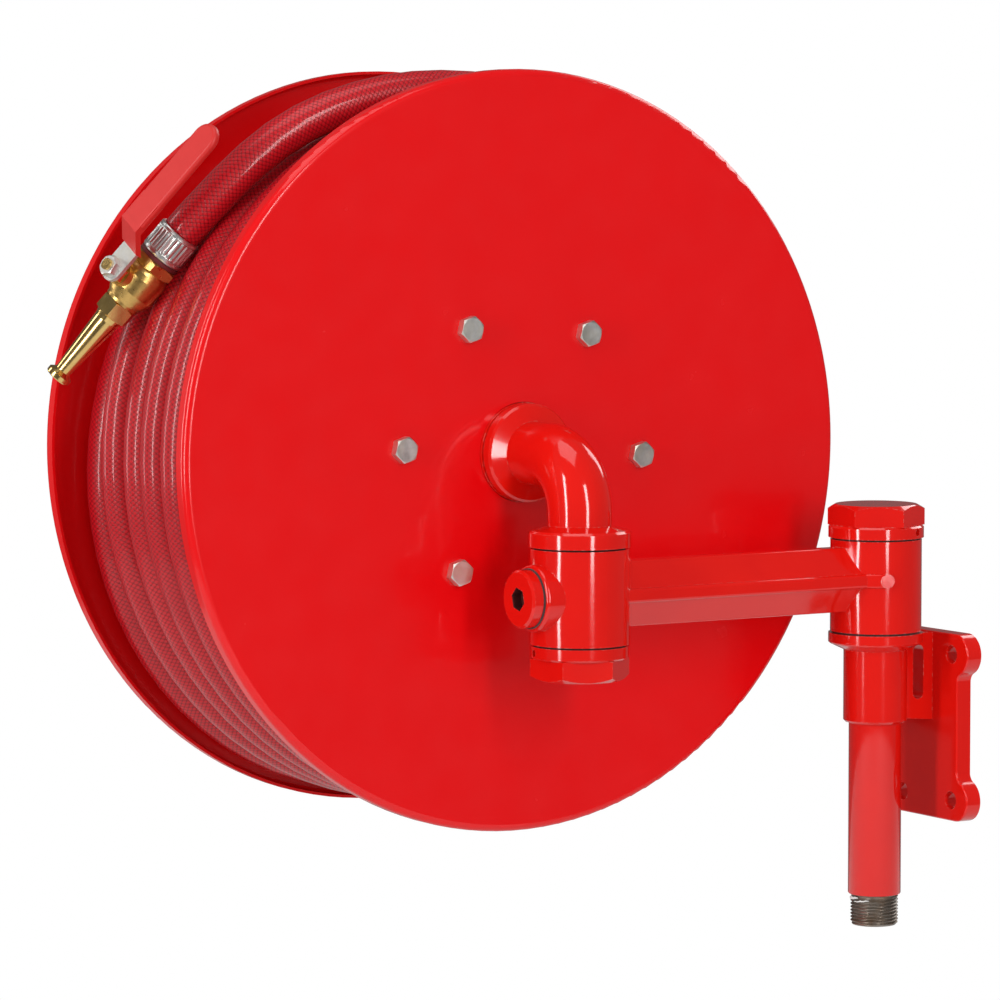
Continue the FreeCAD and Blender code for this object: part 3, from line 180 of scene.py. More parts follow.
def slack_radius(layer, angle):
    """Centreline radius of a layer: pulled tight near the top and hanging out opposite."""
    bulge = 0.5 + 0.5 * math.cos(math.radians(angle - slack_angle))
    return tight_radii[layer] + layer_slack[layer] * bulge


# %% The winding, layer by layer
def lead_in():
    """The straight start and the bend that brings it onto the first layer."""
    along = Vector((1, 0, 0)).cross(outward(lead_in_nearest))
    nearest = on_drum(lead_in_depth, lead_in_distance, lead_in_nearest)
    points = [nearest + along * step * MM for step in lead_in_steps]
    first_radius = slack_radius(0, lead_in_nearest + 90.0)
    bend_start = math.sqrt(first_radius ** 2 - lead_in_distance ** 2
                           - 2 * first_bend_radius * (first_radius - lead_in_distance))
    middle = on_drum(0, lead_in_distance - first_bend_radius, lead_in_nearest)
    middle += along * bend_start * MM
    corner_radius = first_bend_radius / math.cos(math.radians(45.0 / bend_steps))
    for step in range(1, bend_steps + 1):
        turn = lead_in_nearest + 90.0 * (step - 0.5) / bend_steps
        depth = lead_in_depth + (front_lane - lead_in_depth) * smooth(step / bend_steps)
        points.append(middle + (outward(turn) * corner_radius - Vector((depth, 0, 0))) * MM)
    return points, lead_in_nearest + 90.0


def wave(turns):
    """Small unevenness of hand winding, in millimetres."""
    return 0.9 * math.sin(turns * 4.4) + 0.6 * math.sin(turns * 9.1 + 1.3)


def layer_place(layer, turns, angle):
    """Depth and radius in one of the inner layers, which run forwards and back in turn."""
    moving = turns_per_layer - climb_turns
    share = min(turns / moving, 1.0)
    if layer % 2:
        share = 1.0 - share
    here, above = slack_radius(layer, angle), slack_radius(layer + 1, angle)
    climb = smooth((turns - moving) / climb_turns)
    return front_lane + (rear_lane - front_lane) * share, here + (above - here) * climb


def top_place(turns_left):
    """Depth in the top layer: lanes side by side, each joined to the next by a short crossover."""
    lane = min(int(turns_left), top_lanes - 1)
    over = smooth((turns_left - lane - crossover_start) / (1.0 - crossover_start))
    if lane < top_lanes - 1:
        return front_lane + lane_pitch * (lane + over)
    last = front_lane + lane_pitch * lane
    reach = smooth((turns_left - lane - crossover_start) / (top_turns - lane - crossover_start))
    return last + (rear_lane - last) * reach


def winding(start_angle):
    """Points of the whole winding, and the angle that it ends at."""
    inner = turns_per_layer * (len(tight_radii) - 1)
    total = inner + top_turns
    corner = 1.0 / math.cos(math.pi / steps_per_turn)   # corners stand out: the curve cuts them
    count = int(total * steps_per_turn)
    points = []
    for step in range(1, count + 1):
        turns = total * step / (count + 1)
        angle = start_angle + 360.0 * turns
        if turns < inner:
            layer = int(turns / turns_per_layer)
            depth, radius = layer_place(layer, turns - layer * turns_per_layer, angle)
        else:
            uneven = wave(turns) * smooth((total - turns) * 2)
            depth = top_place(total - turns) + uneven
            radius = slack_radius(-1, angle) + 0.4 * uneven
        points.append(on_drum(depth, radius * corner, angle))
    return points, start_angle + 360.0 * total


start_points, first_angle = lead_in()
turn_points, last_angle = winding(first_angle)
print("the winding ends at", round(last_angle % 360.0, 1), "degrees, and", end_angle, "is wanted")

# %% [markdown]
# ### One smooth curve through all of it
# The points so far are corners. A NURBS curve of order three rounds them into arcs without the
# swings between points that a handle-driven curve can show, so it bends the way stiff hose does.

# %% The hose's whole line
free_points = [on_drum(*place) for place in free_end_route]
free_points.append(ferrule_point - nozzle_axis * (ferrule_half + socket_run) * MM)
free_points.append(ferrule_point + nozzle_axis * ferrule_half * MM)
route = start_points + turn_points + free_points


def smooth_curve(name, points):
    """Open NURBS curve with these control points."""
    data = bpy.data.curves.new(name, "CURVE")
    data.dimensions = "3D"
    data.resolution_u = 3
    spline = data.splines.new("NURBS")
    spline.points.add(len(points) - 1)
    for place, point in zip(spline.points, points):
        place.co = (*point, 1.0)
    spline.order_u = 3
    spline.use_endpoint_u = True
    return bpy.data.objects.new(name, data)


def line_of(curve):
    """The points that a bare curve passes through."""
    mesh = bpy.data.meshes.new_from_object(curve)
    points = [v.co.copy() for v in mesh.vertices]
    bpy.data.meshes.remove(mesh)
    return points


hose_guide = smooth_curve("hose_guide", route)
hose_line = line_of(hose_guide)
measured = sum((b - a).length for a, b in zip(hose_line, hose_line[1:]))
print("hose line:", len(hose_line), "points,", round(measured, 2), "m")

# %% [markdown]
# ## Finishes
# Real paint is never one colour: it is a little thicker here and thinner there, it has a fine
# orange-peel ripple, and it wears pale on sharp edges. Each finish below starts from Blender's
# Principled shader and drives colour, roughness and bump from noise measured in metres, so the
# detail has a true size on every piece. A picture texture would need unwrapping and would stretch.

# %% Small tools for building finishes
def new_finish(name):
    """A material with its node tree and its Principled shader."""
    material = bpy.data.materials.new(name)
    material.use_nodes = True
    tree = material.node_tree
    return material, tree, tree.nodes["Principled BSDF"]


def add_node(tree, kind, links=(), **values):
    """Add a node, set its fields or its inputs by name, and link its inputs."""
    node = tree.nodes.new(kind)
    for key, value in values.items():
        if hasattr(node, key):
            setattr(node, key, value)
        else:
            node.inputs[key.replace("_", " ")].default_value = value
    for name, source in dict(links).items():
        tree.links.new(source, node.inputs[name])
    return node


def metre_coordinates(tree):
    """Position on the piece in metres, which stays with the piece when it moves."""
    return add_node(tree, "ShaderNodeTexCoord").outputs["Object"]


def noise(tree, grain_mm, detail=3.0, rough=0.5, where=None):
    """Noise whose grain is that many millimetres across; the output runs from 0 to 1."""
    node = add_node(tree, "ShaderNodeTexNoise", {"Vector": where or metre_coordinates(tree)},
                    Scale=1000.0 / grain_mm, Detail=detail, Roughness=rough)
    return node.outputs["Fac"]


def ramp(tree, source, stops):
    """Colour ramp from (place, colour) stops."""
    node = add_node(tree, "ShaderNodeValToRGB", {"Fac": source})
    colours = node.color_ramp.elements
    while len(colours) < len(stops):
        colours.new(0.5)
    for element, (place, colour) in zip(colours, stops):
        element.position = place
        element.color = (*colour, 1.0) if len(colour) == 3 else colour
    return node.outputs["Color"]


def grey(value):
    return (value, value, value)


def spread(tree, source, low, high):
    """Stretch a 0 to 1 signal to the range low to high."""
    node = add_node(tree, "ShaderNodeMapRange", {"Value": source}, To_Min=low, To_Max=high)
    return node.outputs["Result"]


def blend_colour(tree, share, first, second, mode="MIX"):
    """Mix two colours, each a node output or three numbers, by a share that is a node output."""
    node = add_node(tree, "ShaderNodeMix", data_type="RGBA", blend_type=mode)
    tree.links.new(share, node.inputs[0])
    for socket, colour in ((node.inputs[6], first), (node.inputs[7], second)):
        if isinstance(colour, tuple):
            socket.default_value = (*colour, 1.0)
        else:
            tree.links.new(colour, socket)
    return node.outputs[2]


def bumped(tree, height, depth_mm, below=None):
    """Normal bent by a height signal that is depth_mm tall at full strength."""
    links = {"Height": height}
    if below:
        links["Normal"] = below
    node = add_node(tree, "ShaderNodeBump", links, Strength=1.0, Distance=depth_mm * MM)
    return node.outputs["Normal"]


def sharp_edges(tree, radius_mm):
    """1 on sharp outer or inner edges and 0 on faces, found by comparing a rounded normal."""
    rounded = add_node(tree, "ShaderNodeBevel", samples=6, Radius=radius_mm * MM)
    plain = add_node(tree, "ShaderNodeNewGeometry")
    match = add_node(tree, "ShaderNodeVectorMath",
                     {0: rounded.outputs["Normal"], 1: plain.outputs["Normal"]},
                     operation="DOT_PRODUCT")
    return ramp(tree, match.outputs["Value"], [(0.80, grey(1.0)), (0.97, grey(0.0))])


print("finish tools ready")

# %% [markdown]
# ### Red enamel on castings and on sheet
# The castings are sprayed thickly after machining, so they shine, show orange peel, and wear pale
# where tools touch their edges. The discs are coated before assembly in a thinner, flatter film.
# One function with a few numbers serves both. The wear could be painted by hand, but finding the
# sharp edges in the shader puts it on every piece at once.

# %% Red enamel
worn_red = (0.62, 0.33, 0.28)


def red_enamel(name, deep, bright, peel_mm, peel_depth, roughness, wear=0.0, cast_depth=0.0):
    """Glossy red paint: uneven film, orange peel, and pale wear along sharp edges."""
    material, tree, shader = new_finish(name)
    film = blend_colour(tree, noise(tree, 60.0, 4.0), deep, bright)
    if wear:
        scuffs = ramp(tree, noise(tree, 3.0, 5.0, 0.7), [(0.50, grey(0.0)), (0.62, grey(1.0))])
        edges = blend_colour(tree, sharp_edges(tree, 0.9), (0.0, 0.0, 0.0), scuffs)
        share = add_node(tree, "ShaderNodeMath", {0: edges}, operation="MULTIPLY")
        share.inputs[1].default_value = wear
        film = blend_colour(tree, share.outputs[0], film, worn_red)
    tree.links.new(film, shader.inputs["Base Color"])
    shine = noise(tree, 25.0, 3.0)
    tree.links.new(spread(tree, shine, roughness * 0.7, roughness * 1.3),
                   shader.inputs["Roughness"])
    surface = bumped(tree, noise(tree, peel_mm, 2.0), peel_depth)
    if cast_depth:
        surface = bumped(tree, noise(tree, 1.6, 4.0, 0.6), cast_depth, surface)
    tree.links.new(surface, shader.inputs["Normal"])
    shader.inputs["Coat Weight"].default_value = 0.6 if wear > 0.5 else 0.3
    shader.inputs["Coat Roughness"].default_value = 0.06
    shader.inputs["Specular IOR Level"].default_value = 0.4
    return material


casting_paint = red_enamel("red_enamel_on_castings", (0.66, 0.004, 0.003), (0.80, 0.010, 0.004),
                           6.0, 0.03, 0.11, wear=0.8, cast_depth=0.012)
disc_paint = red_enamel("red_enamel_on_sheet", (0.76, 0.0012, 0.003), (0.81, 0.002, 0.004),
                        4.0, 0.010, 0.24, wear=0.15)
print("enamels:", casting_paint.name, "and", disc_paint.name)


# %% [markdown]
# ### Bare metals
# The bolts are zinc plated, the valve is cast brass with a turned brass jet, and the thread is bare
# oiled steel. They differ in colour, in how coarse the grain is and in how stained they are, so one
# function takes those as numbers. A single flat metal colour would look like plastic chrome.

# %% Zinc, steel, brass and bronze
def bare_metal(name, dark, light, grain_mm, roughness, depth, streak=1.0, stain=None):
    """Metal with a worked grain; streak above 1 draws the grain out along Z."""
    material, tree, shader = new_finish(name)
    stretch = add_node(tree, "ShaderNodeMapping", {"Vector": metre_coordinates(tree)})
    stretch.inputs["Scale"].default_value = (1.0, 1.0, 1.0 / streak)
    place = stretch.outputs["Vector"]
    grain = noise(tree, grain_mm, 5.0, 0.6, place)
    colour = blend_colour(tree, grain, dark, light)
    if stain:
        patches = ramp(tree, noise(tree, grain_mm * 9.0, 4.0, 0.6),
                       [(0.45, grey(0.0)), (0.70, grey(1.0))])
        colour = blend_colour(tree, patches, colour, stain)
    tree.links.new(colour, shader.inputs["Base Color"])
    tree.links.new(spread(tree, noise(tree, grain_mm * 4.0, 4.0), roughness * 0.6, roughness * 1.5),
                   shader.inputs["Roughness"])
    tree.links.new(bumped(tree, grain, depth), shader.inputs["Normal"])
    shader.inputs["Metallic"].default_value = 1.0
    return material


zinc = bare_metal("bright_zinc_plate", (0.66, 0.65, 0.62), (0.92, 0.91, 0.88),
                  2.5, 0.42, 0.06, stain=(0.78, 0.72, 0.60))
turned_steel = bare_metal("turned_steel", (0.42, 0.42, 0.42), (0.62, 0.62, 0.62),
                          0.8, 0.30, 0.01, streak=4.0)
thread_steel = bare_metal("oiled_thread_steel", (0.22, 0.19, 0.16), (0.52, 0.47, 0.42),
                          1.2, 0.45, 0.03, stain=(0.30, 0.22, 0.16))
cast_brass = bare_metal("cast_brass", (0.62, 0.36, 0.09), (0.90, 0.60, 0.22),
                        1.2, 0.30, 0.05, stain=(0.70, 0.44, 0.14))
turned_brass = bare_metal("turned_brass", (0.78, 0.50, 0.15), (0.95, 0.68, 0.28),
                          2.0, 0.17, 0.01, stain=(0.85, 0.55, 0.20))
bronze = bare_metal("bearing_bronze", (0.45, 0.26, 0.12), (0.66, 0.42, 0.20), 1.0, 0.35, 0.01)
sleeve_metal = bare_metal("crimped_sleeve_metal", (0.66, 0.66, 0.64), (0.92, 0.91, 0.88),
                          1.5, 0.32, 0.02)
print("finishes with the metals:", len(bpy.data.materials))

# %% [markdown]
# ### Rubber, plastic and fibre
# Seals, washers, bearing rings and the lever's dipped grip are soft or matt. They need only a faint
# mottle and a dull shine; a little sheen gives the fibre washers their dusty edge.

# %% Soft and matt finishes
def soft_finish(name, dark, light, grain_mm, roughness, depth, sheen=0.0):
    """Non-metal with a fine mottled surface."""
    material, tree, shader = new_finish(name)
    grain = noise(tree, grain_mm, 4.0)
    tree.links.new(blend_colour(tree, grain, dark, light), shader.inputs["Base Color"])
    tree.links.new(spread(tree, noise(tree, grain_mm * 5.0), roughness * 0.8, roughness * 1.2),
                   shader.inputs["Roughness"])
    tree.links.new(bumped(tree, grain, depth), shader.inputs["Normal"])
    shader.inputs["Sheen Weight"].default_value = sheen
    return material


black_rubber = soft_finish("black_rubber", (0.010, 0.010, 0.010), (0.030, 0.030, 0.030),
                           0.6, 0.55, 0.02)
white_plastic = soft_finish("white_bearing_plastic", (0.70, 0.69, 0.66), (0.86, 0.85, 0.82),
                            1.5, 0.40, 0.01)
fibre = soft_finish("black_fibre_washer", (0.015, 0.010, 0.010), (0.06, 0.03, 0.03),
                    0.5, 0.75, 0.05, sheen=0.2)
maroon = soft_finish("maroon_fibre_washer", (0.10, 0.006, 0.008), (0.17, 0.010, 0.012),
                     0.8, 0.6, 0.03)
# Near-black red for the inside of the plug's hexagon socket: painted shade in the recess.
painted_socket_shade = soft_finish("painted_shade_in_socket", (0.05, 0.003, 0.003), (0.11, 0.005, 0.004),
                    1.5, 0.7, 0.03)
vinyl = soft_finish("dipped_red_vinyl", (0.58, 0.014, 0.011), (0.66, 0.022, 0.018),
                    7.0, 0.42, 0.05, sheen=0.02)
print("finishes:", len(bpy.data.materials))

# %% [markdown]
# ## The hose's skin
# The hose is rubber over a braid of yarn, and the braid shows through as rows of small diamonds
# and chevrons. Two sets of spirals that cross make that pattern, so the finish works it out from
# the length along the hose and the angle round it. The tube is built from rings, because
# that gives each ring those two numbers; a bevelled curve would not keep them to scale.

# %% Hose finish
braid_lead = 0.060             # metres along the hose for one yarn to go once round
braid_yarns = 18
# The colour in the dents between the yarns is darkened: painted shade in the braid's hollows.
painted_dent_shade = 0.42              # how much of the rubber's colour is left between the yarns


def braided_rubber(name, deep, bright):
    """Red rubber with the braid showing through, and painted shade darkening the dents between its
    yarns.
    """
    material, tree, shader = new_finish(name)
    on_hose = add_node(tree, "ShaderNodeUVMap", uv_map="along_and_round")
    place = add_node(tree, "ShaderNodeSeparateXYZ", {"Vector": on_hose.outputs["UV"]})
    along = add_node(tree, "ShaderNodeMath", {0: place.outputs["X"]}, operation="DIVIDE")
    along.inputs[1].default_value = braid_lead

    def spiral(way):
        phase = add_node(tree, "ShaderNodeMath", {0: along.outputs[0], 1: place.outputs["Y"]},
                         operation=way)
        turns = add_node(tree, "ShaderNodeMath", {0: phase.outputs[0]}, operation="MULTIPLY")
        turns.inputs[1].default_value = math.pi * braid_yarns
        sine = add_node(tree, "ShaderNodeMath", {0: turns.outputs[0]}, operation="SINE")
        size = add_node(tree, "ShaderNodeMath", {0: sine.outputs[0]}, operation="ABSOLUTE")
        return size.outputs[0]

    weave = add_node(tree, "ShaderNodeMath", {0: spiral("ADD"), 1: spiral("SUBTRACT")},
                     operation="MULTIPLY")
    dents = ramp(tree, weave.outputs[0], [(0.0, grey(0.0)), (0.30, grey(0.75)), (1.0, grey(1.0))])
    rubber = blend_colour(tree, noise(tree, 30.0, 4.0), deep, bright)
    # Painted shade: the rubber's colour is darkened in the dents between the yarns.
    shade = blend_colour(tree, dents, tuple(c * painted_dent_shade for c in deep), rubber)
    tree.links.new(shade, shader.inputs["Base Color"])
    tree.links.new(spread(tree, noise(tree, 4.0, 4.0), 0.26, 0.42), shader.inputs["Roughness"])
    surface = bumped(tree, noise(tree, 1.2, 3.0), 0.02)
    tree.links.new(bumped(tree, dents, 0.16, surface), shader.inputs["Normal"])
    shader.inputs["Specular IOR Level"].default_value = 0.35
    shader.inputs["Coat Weight"].default_value = 0.35
    shader.inputs["Coat Roughness"].default_value = 0.10
    return material


hose_rubber = braided_rubber("braided_red_rubber", (0.54, 0.004, 0.012), (0.70, 0.012, 0.020))
print("braid:", braid_yarns, "yarns, once round in", braid_lead, "m")


# %% Tube along a line
def tube_mesh(name, line, radius, sides):
    """Closed round tube along a line, with length and angle kept as its texture place."""
    mesh = bpy.data.meshes.new(name)
    shape = bmesh.new()
    places = shape.loops.layers.uv.new("along_and_round")
    direction = (line[1] - line[0]).normalized()
    side = direction.orthogonal().normalized()
    rings, lengths, travelled = [], [], 0.0
    for index, point in enumerate(line):
        before, after = line[max(index - 1, 0)], line[min(index + 1, len(line) - 1)]
        new_direction = (after - before).normalized()
        side = (side - new_direction * side.dot(new_direction)).normalized()
        across = new_direction.cross(side)
        if index:
            travelled += (point - line[index - 1]).length
        lengths.append(travelled)
        turns = [2 * math.pi * k / sides for k in range(sides)]
        rings.append([shape.verts.new(point + (side * math.cos(turn)
                                               + across * math.sin(turn)) * radius)
                      for turn in turns])
    for index in range(len(rings) - 1):
        for k in range(sides):
            following = (k + 1) % sides
            face = shape.faces.new((rings[index][k], rings[index][following],
                                    rings[index + 1][following], rings[index + 1][k]))
            face.smooth = True
            corners = ((index, k), (index, k + 1), (index + 1, k + 1), (index + 1, k))
            for loop, (ring, step) in zip(face.loops, corners):
                loop[places].uv = (lengths[ring], step / sides)
    shape.faces.new(list(reversed(rings[0])))
    shape.faces.new(rings[-1])
    shape.to_mesh(mesh)
    shape.free()
    return mesh


# %% The hose itself
hose_sides = 20
hose_mesh = tube_mesh("fire_hose", hose_line, hose_diameter / 2 * MM, hose_sides)
hose_mesh.materials.append(hose_rubber)
hose = bpy.data.objects.new("fire_hose", hose_mesh)
bpy.context.collection.objects.link(hose)
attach(hose, "drum")
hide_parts("hose_lead_in", "hose_coil", "hose_free_end")
print("hose faces:", len(hose_mesh.polygons))

# %% [markdown]
# ## Turned pieces
# Pipes, sleeves and threads are all round, so one function spins an outline about an axis. The
# radius may change with the angle, which gives a thread its helix and a crimped sleeve its
# grooves. A lathe modifier could spin the outline too, but it could not cut a helix.

# %% A lathe
def lathe(name, outline, place, columns=96, shape_of=None):
    """Closed ring of an outline spun about +Z; shape_of(radius, height, turn) may change a radius.

    The outline is a closed loop of (radius, height, finish index) in millimetres.
    """
    shape = bmesh.new()
    grid = []
    for radius, height, _ in outline:
        row = []
        for column in range(columns):
            turn = 2 * math.pi * column / columns
            reach = shape_of(radius, height, turn) if shape_of else radius
            corner = Vector((reach * math.cos(turn), reach * math.sin(turn), height))
            row.append(shape.verts.new(corner * MM))
        grid.append(row)
    for index, (_, _, finish) in enumerate(outline):
        following = (index + 1) % len(outline)
        for column in range(columns):
            beside = (column + 1) % columns
            face = shape.faces.new((grid[index][column], grid[index][beside],
                                    grid[following][beside], grid[following][column]))
            face.material_index = finish
            face.smooth = True
    bmesh.ops.recalc_face_normals(shape, faces=shape.faces)
    mesh = bpy.data.meshes.new(name)
    shape.to_mesh(mesh)
    shape.free()
    mesh.transform(place)
    piece = bpy.data.objects.new(name, mesh)
    bpy.context.collection.objects.link(piece)
    return piece


def keep_sharp(piece, degrees=35.0):
    """Shade smooth but keep edges that are sharper than this."""
    piece.data.set_sharp_from_angle(angle=math.radians(degrees))


def frame_along(origin, z_to, x_to):
    """Matrix that puts +Z along z_to and +X near x_to, at origin."""
    z_dir = z_to.normalized()
    y_dir = z_dir.cross(x_to).normalized()
    x_dir = y_dir.cross(z_dir)
    matrix = Matrix((x_dir, y_dir, z_dir)).transposed().to_4x4()
    matrix.translation = origin
    return matrix


# %% [markdown]
# ### The riser with its pipe thread
# The riser is a plain red pipe whose lower end is left bare and threaded for the water main. The
# thread is real geometry: rows a seventh of a pitch apart whose radius follows a helix. Bump alone
# would leave the pipe's outline smooth, and the outline is where a thread shows.

# %% Riser pipe
riser_low, riser_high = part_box("riser_stem")
riser_y = (riser_low.y + riser_high.y) / 2
riser_length = (riser_high.z - riser_low.z) / MM
thread_pitch, thread_depth = 2.309, 1.48          # one inch pipe thread
thread_length, thread_crest = 21.5, 16.62
rows_per_pitch = 7
riser_radius, riser_bore = 18.4, 12.5
spindle_radius, spindle_bore = 16.0, 11.0
spindle_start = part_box("riser_washers")[0].z / MM - riser_low.z / MM
bore_step = spindle_start - 8.0                   # where the wide bore becomes the narrow one


def pipe_thread(radius, height, turn):
    """Radius on the thread: full crests that fade out at both ends."""
    if radius != thread_crest:
        return radius
    phase = (height / thread_pitch - turn / (2 * math.pi)) % 1.0
    groove = min(max(abs(2.0 * phase - 1.0) * 1.3 - 0.15, 0.0), 1.0)
    fade = smooth(height / 2.5) * smooth((thread_length - 0.4 - height) / 3.0)
    chamfer = 1.1 * (1.0 - smooth(height / 2.0))
    return radius - thread_depth * groove * (0.35 + 0.65 * fade) - chamfer


def riser_outline():
    """From the inlet's end up the outside, over the spindle and down the bore."""
    rows = int(thread_length / thread_pitch * rows_per_pitch)
    outline = [(thread_crest, thread_length * k / rows, 1) for k in range(rows)]
    outline += [(riser_radius - 1.2, thread_length, 1),
                (riser_radius - 0.5, thread_length + 0.2, 0),
                (riser_radius, thread_length + 1.0, 0), (riser_radius, spindle_start, 0),
                (spindle_radius, spindle_start, 2), (spindle_radius, riser_length, 2),
                (spindle_bore, riser_length, 2), (spindle_bore, bore_step, 2),
                (riser_bore, bore_step, 1), (riser_bore, 0.8, 1), (riser_bore + 0.8, 0.0, 1)]
    return outline


riser_foot = Matrix.Translation((0, riser_y, riser_low.z))
riser = lathe("riser_pipe", riser_outline(), riser_foot, shape_of=pipe_thread)
for finish in (casting_paint, thread_steel, turned_steel):
    riser.data.materials.append(finish)
keep_sharp(riser)
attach(riser, "bracket")
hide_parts("riser_stem")
print("riser faces:", len(riser.data.polygons))

# %% [markdown]
# ### Sealing tape
# A little white sealing tape is left over the thread's top turns. It is a thin torn strip, so it is
# built as a ragged band of narrow faces that stands just clear of the crests. Painting it onto the
# thread would be quicker, but the strip bridges the grooves and has a torn edge of its own.

# %% Sealing tape
tape_finish = soft_finish("white_sealing_tape", (0.70, 0.70, 0.68), (0.90, 0.90, 0.88),
                          0.8, 0.5, 0.03)
tape_inside, tape_outside = thread_crest + 0.1, thread_crest + 0.5


def torn_tape(name, first_turn, last_turn, low, width, columns=36):
    """Strip round the riser, tapering to ragged ends; heights are from the inlet's end."""
    shape = bmesh.new()
    rows = []
    for column in range(columns + 1):
        share = column / columns
        turn = math.radians(first_turn + (last_turn - first_turn) * share)
        ragged = 0.35 * math.sin(17.0 * share) + 0.25 * math.sin(41.0 * share + 1.0)
        tall = width * math.sin(math.pi * (0.04 + 0.92 * share)) ** 0.7
        middle = low + 1.6 * share + ragged * 0.5
        around = Vector((math.cos(turn), math.sin(turn), 0.0))
        half = (tall + ragged * 0.3) / 2
        rows.append([shape.verts.new((around * radius + UP * (middle + side * half)) * MM)
                     for radius, side in ((tape_inside, -1), (tape_outside, -1),
                                          (tape_outside, 1), (tape_inside, 1))])
    for here, following in zip(rows, rows[1:]):
        for k in range(4):
            shape.faces.new((here[k], here[(k + 1) % 4], following[(k + 1) % 4], following[k]))
    shape.faces.new(list(reversed(rows[0])))
    shape.faces.new(rows[-1])
    bmesh.ops.recalc_face_normals(shape, faces=shape.faces)
    mesh = bpy.data.meshes.new(name)
    shape.to_mesh(mesh)
    shape.free()
    mesh.materials.append(tape_finish)
    tape = bpy.data.objects.new(name, mesh)
    tape.location = (0, riser_y, riser_low.z)
    bpy.context.collection.objects.link(tape)
    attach(tape, "bracket")


torn_tape("sealing_tape_end", -128.0, -78.0, 18.2, 1.8)
torn_tape("sealing_tape_turn", -92.0, -48.0, 16.8, 0.9)
print("tape between", tape_inside, "and", tape_outside, "mm from the riser's axis")

# %% [markdown]
# ### The crimped sleeve
# A soft metal sleeve is squeezed onto the hose in a press whose jaws are finely ribbed, so it has
# a ring of narrow grooves. The lathe makes it with a radius that dips in each groove.

# %% Crimped sleeve
sleeve_radius, sleeve_inside = 15.4, 13.4
groove_count, groove_depth, groove_half_length = 26, 0.7, 7.5
tail_radius = 10.2             # the brass tail passes through the sleeve's end
columns_per_groove = 8
stem_turn, stem_lean = 7.0, 0.3
stem_side = outward(ferrule_place[2] + stem_turn) + Vector((stem_lean, 0.0, 0.0))
nozzle_place = frame_along(ferrule_point, nozzle_axis, stem_side)


def crimped(radius, height, turn):
    """Grooves pressed into the middle of the sleeve."""
    if radius < sleeve_radius - 1.2 or abs(height) > groove_half_length:
        return radius
    groove = (0.5 + 0.5 * math.cos(groove_count * turn)) ** 2
    return radius - groove_depth * groove * smooth((groove_half_length - abs(height)) / 1.5)


def sleeve_outline():
    """From the hose's side up the outside to the washer, and back down inside."""
    outline = [(sleeve_inside, -10.0, 0), (sleeve_radius - 0.7, -10.0, 0), (sleeve_radius, -9.2, 0),
               (sleeve_radius, -8.0, 0), (sleeve_radius - 0.6, -7.6, 0)]
    outline += [(sleeve_radius, height, 0) for height in (-7.0, -6.0, -3.0, 0.0, 3.0, 6.0, 7.0)]
    outline += [(sleeve_radius - 0.6, 7.6, 0), (sleeve_radius, 8.0, 0), (sleeve_radius, 10.0, 0),
                (sleeve_radius - 1.0, 11.4, 0), (tail_radius, 11.5, 0), (tail_radius, 10.0, 0),
                (sleeve_inside, 9.8, 0)]
    return outline


sleeve = lathe("crimped_sleeve", sleeve_outline(), nozzle_place,
               groove_count * columns_per_groove, crimped)
sleeve.data.materials.append(sleeve_metal)
keep_sharp(sleeve)
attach(sleeve, "drum")
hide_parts("hose_ferrule")
print("sleeve faces:", len(sleeve.data.polygons))

# %% [markdown]
# ## Finishes for the metal pieces
# The remaining pieces already have their true shape, so each only takes its finish. A table from
# finish to pieces is shorter than a line for each piece, and shows at a glance what is alike.

# %% Which piece takes which finish
finish_of = {
    casting_paint: ["wall_bracket", "riser_cap", "swing_arm", "arm_plug", "elbow_pipe", "elbow_cap",
                    "hub", "hub_cap"],
    disc_paint: ["front_disc", "rear_disc", "drum_barrel"],
    zinc: ["front_disc_bolts", "front_disc_nuts", "rear_disc_bolts", "rear_disc_nuts",
           "outlet_bend", "inner_hose_clamp", "valve_lever_plate", "stem_nut", "riser_grub_screw",
           "elbow_grub_screw", "hub_grub_screw", "valve_ball"],
    turned_steel: ["elbow_spindle", "hub_spindle"],
    cast_brass: ["valve_body", "inlet_tail"],
    turned_brass: ["nozzle_tip", "gland_nut", "valve_stem", "hose_tail"],
    bronze: ["riser_bushes", "elbow_bushes", "hub_bushes"],
    black_rubber: ["riser_o_rings", "elbow_o_rings", "hub_o_rings"],
    white_plastic: ["valve_seats"],
    fibre: ["arm_plug_washer", "riser_washers", "elbow_washers", "hub_washers"],
    maroon: ["inlet_washer"],
    vinyl: ["lever_grip"],
}
for finish, names in finish_of.items():
    for name in names:
        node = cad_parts[name]
        node.data.materials.clear()
        node.data.materials.append(finish)
        for polygon in node.data.polygons:
            polygon.material_index = 0
plain = sorted(set(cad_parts) - {n for names in finish_of.values() for n in names})
print("left to modelled pieces:", plain)

# %% [markdown]
# Two pieces need a second finish on some of their faces. The hexagon socket in the arm's plug is
# given a near-black red as painted shade in its recess, and the grip's dip also covers the end of the
# lever inside it. Both sets of faces can be told by where they lie, so no face has to be picked by
# hand.

# %% Second finishes by place
def second_finish(name, finish, belongs):
    """Give a finish to the faces of a piece whose middle passes a test."""
    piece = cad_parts[name]
    piece.data.materials.append(finish)
    for polygon in piece.data.polygons:
        if belongs(piece.matrix_world @ polygon.center):
            polygon.material_index = 1


socket_reach = 8.2 * MM        # the hexagon's corners are nearer the plug's axis than this
socket_edge = 0.5 * MM         # and its faces start behind the plug's front face
dip_start = -20.0 * MM         # the dip begins this far behind the sleeve's middle
plug_low, plug_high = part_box("arm_plug")
plug_x, plug_z = (plug_low.x + plug_high.x) / 2, (plug_low.z + plug_high.z) / 2


def in_socket(point):
    from_axis = math.hypot(point.x - plug_x, point.z - plug_z)
    return from_axis < socket_reach and point.y > plug_low.y + socket_edge


def under_grip(point):
    return (point - ferrule_point).dot(nozzle_axis) < dip_start


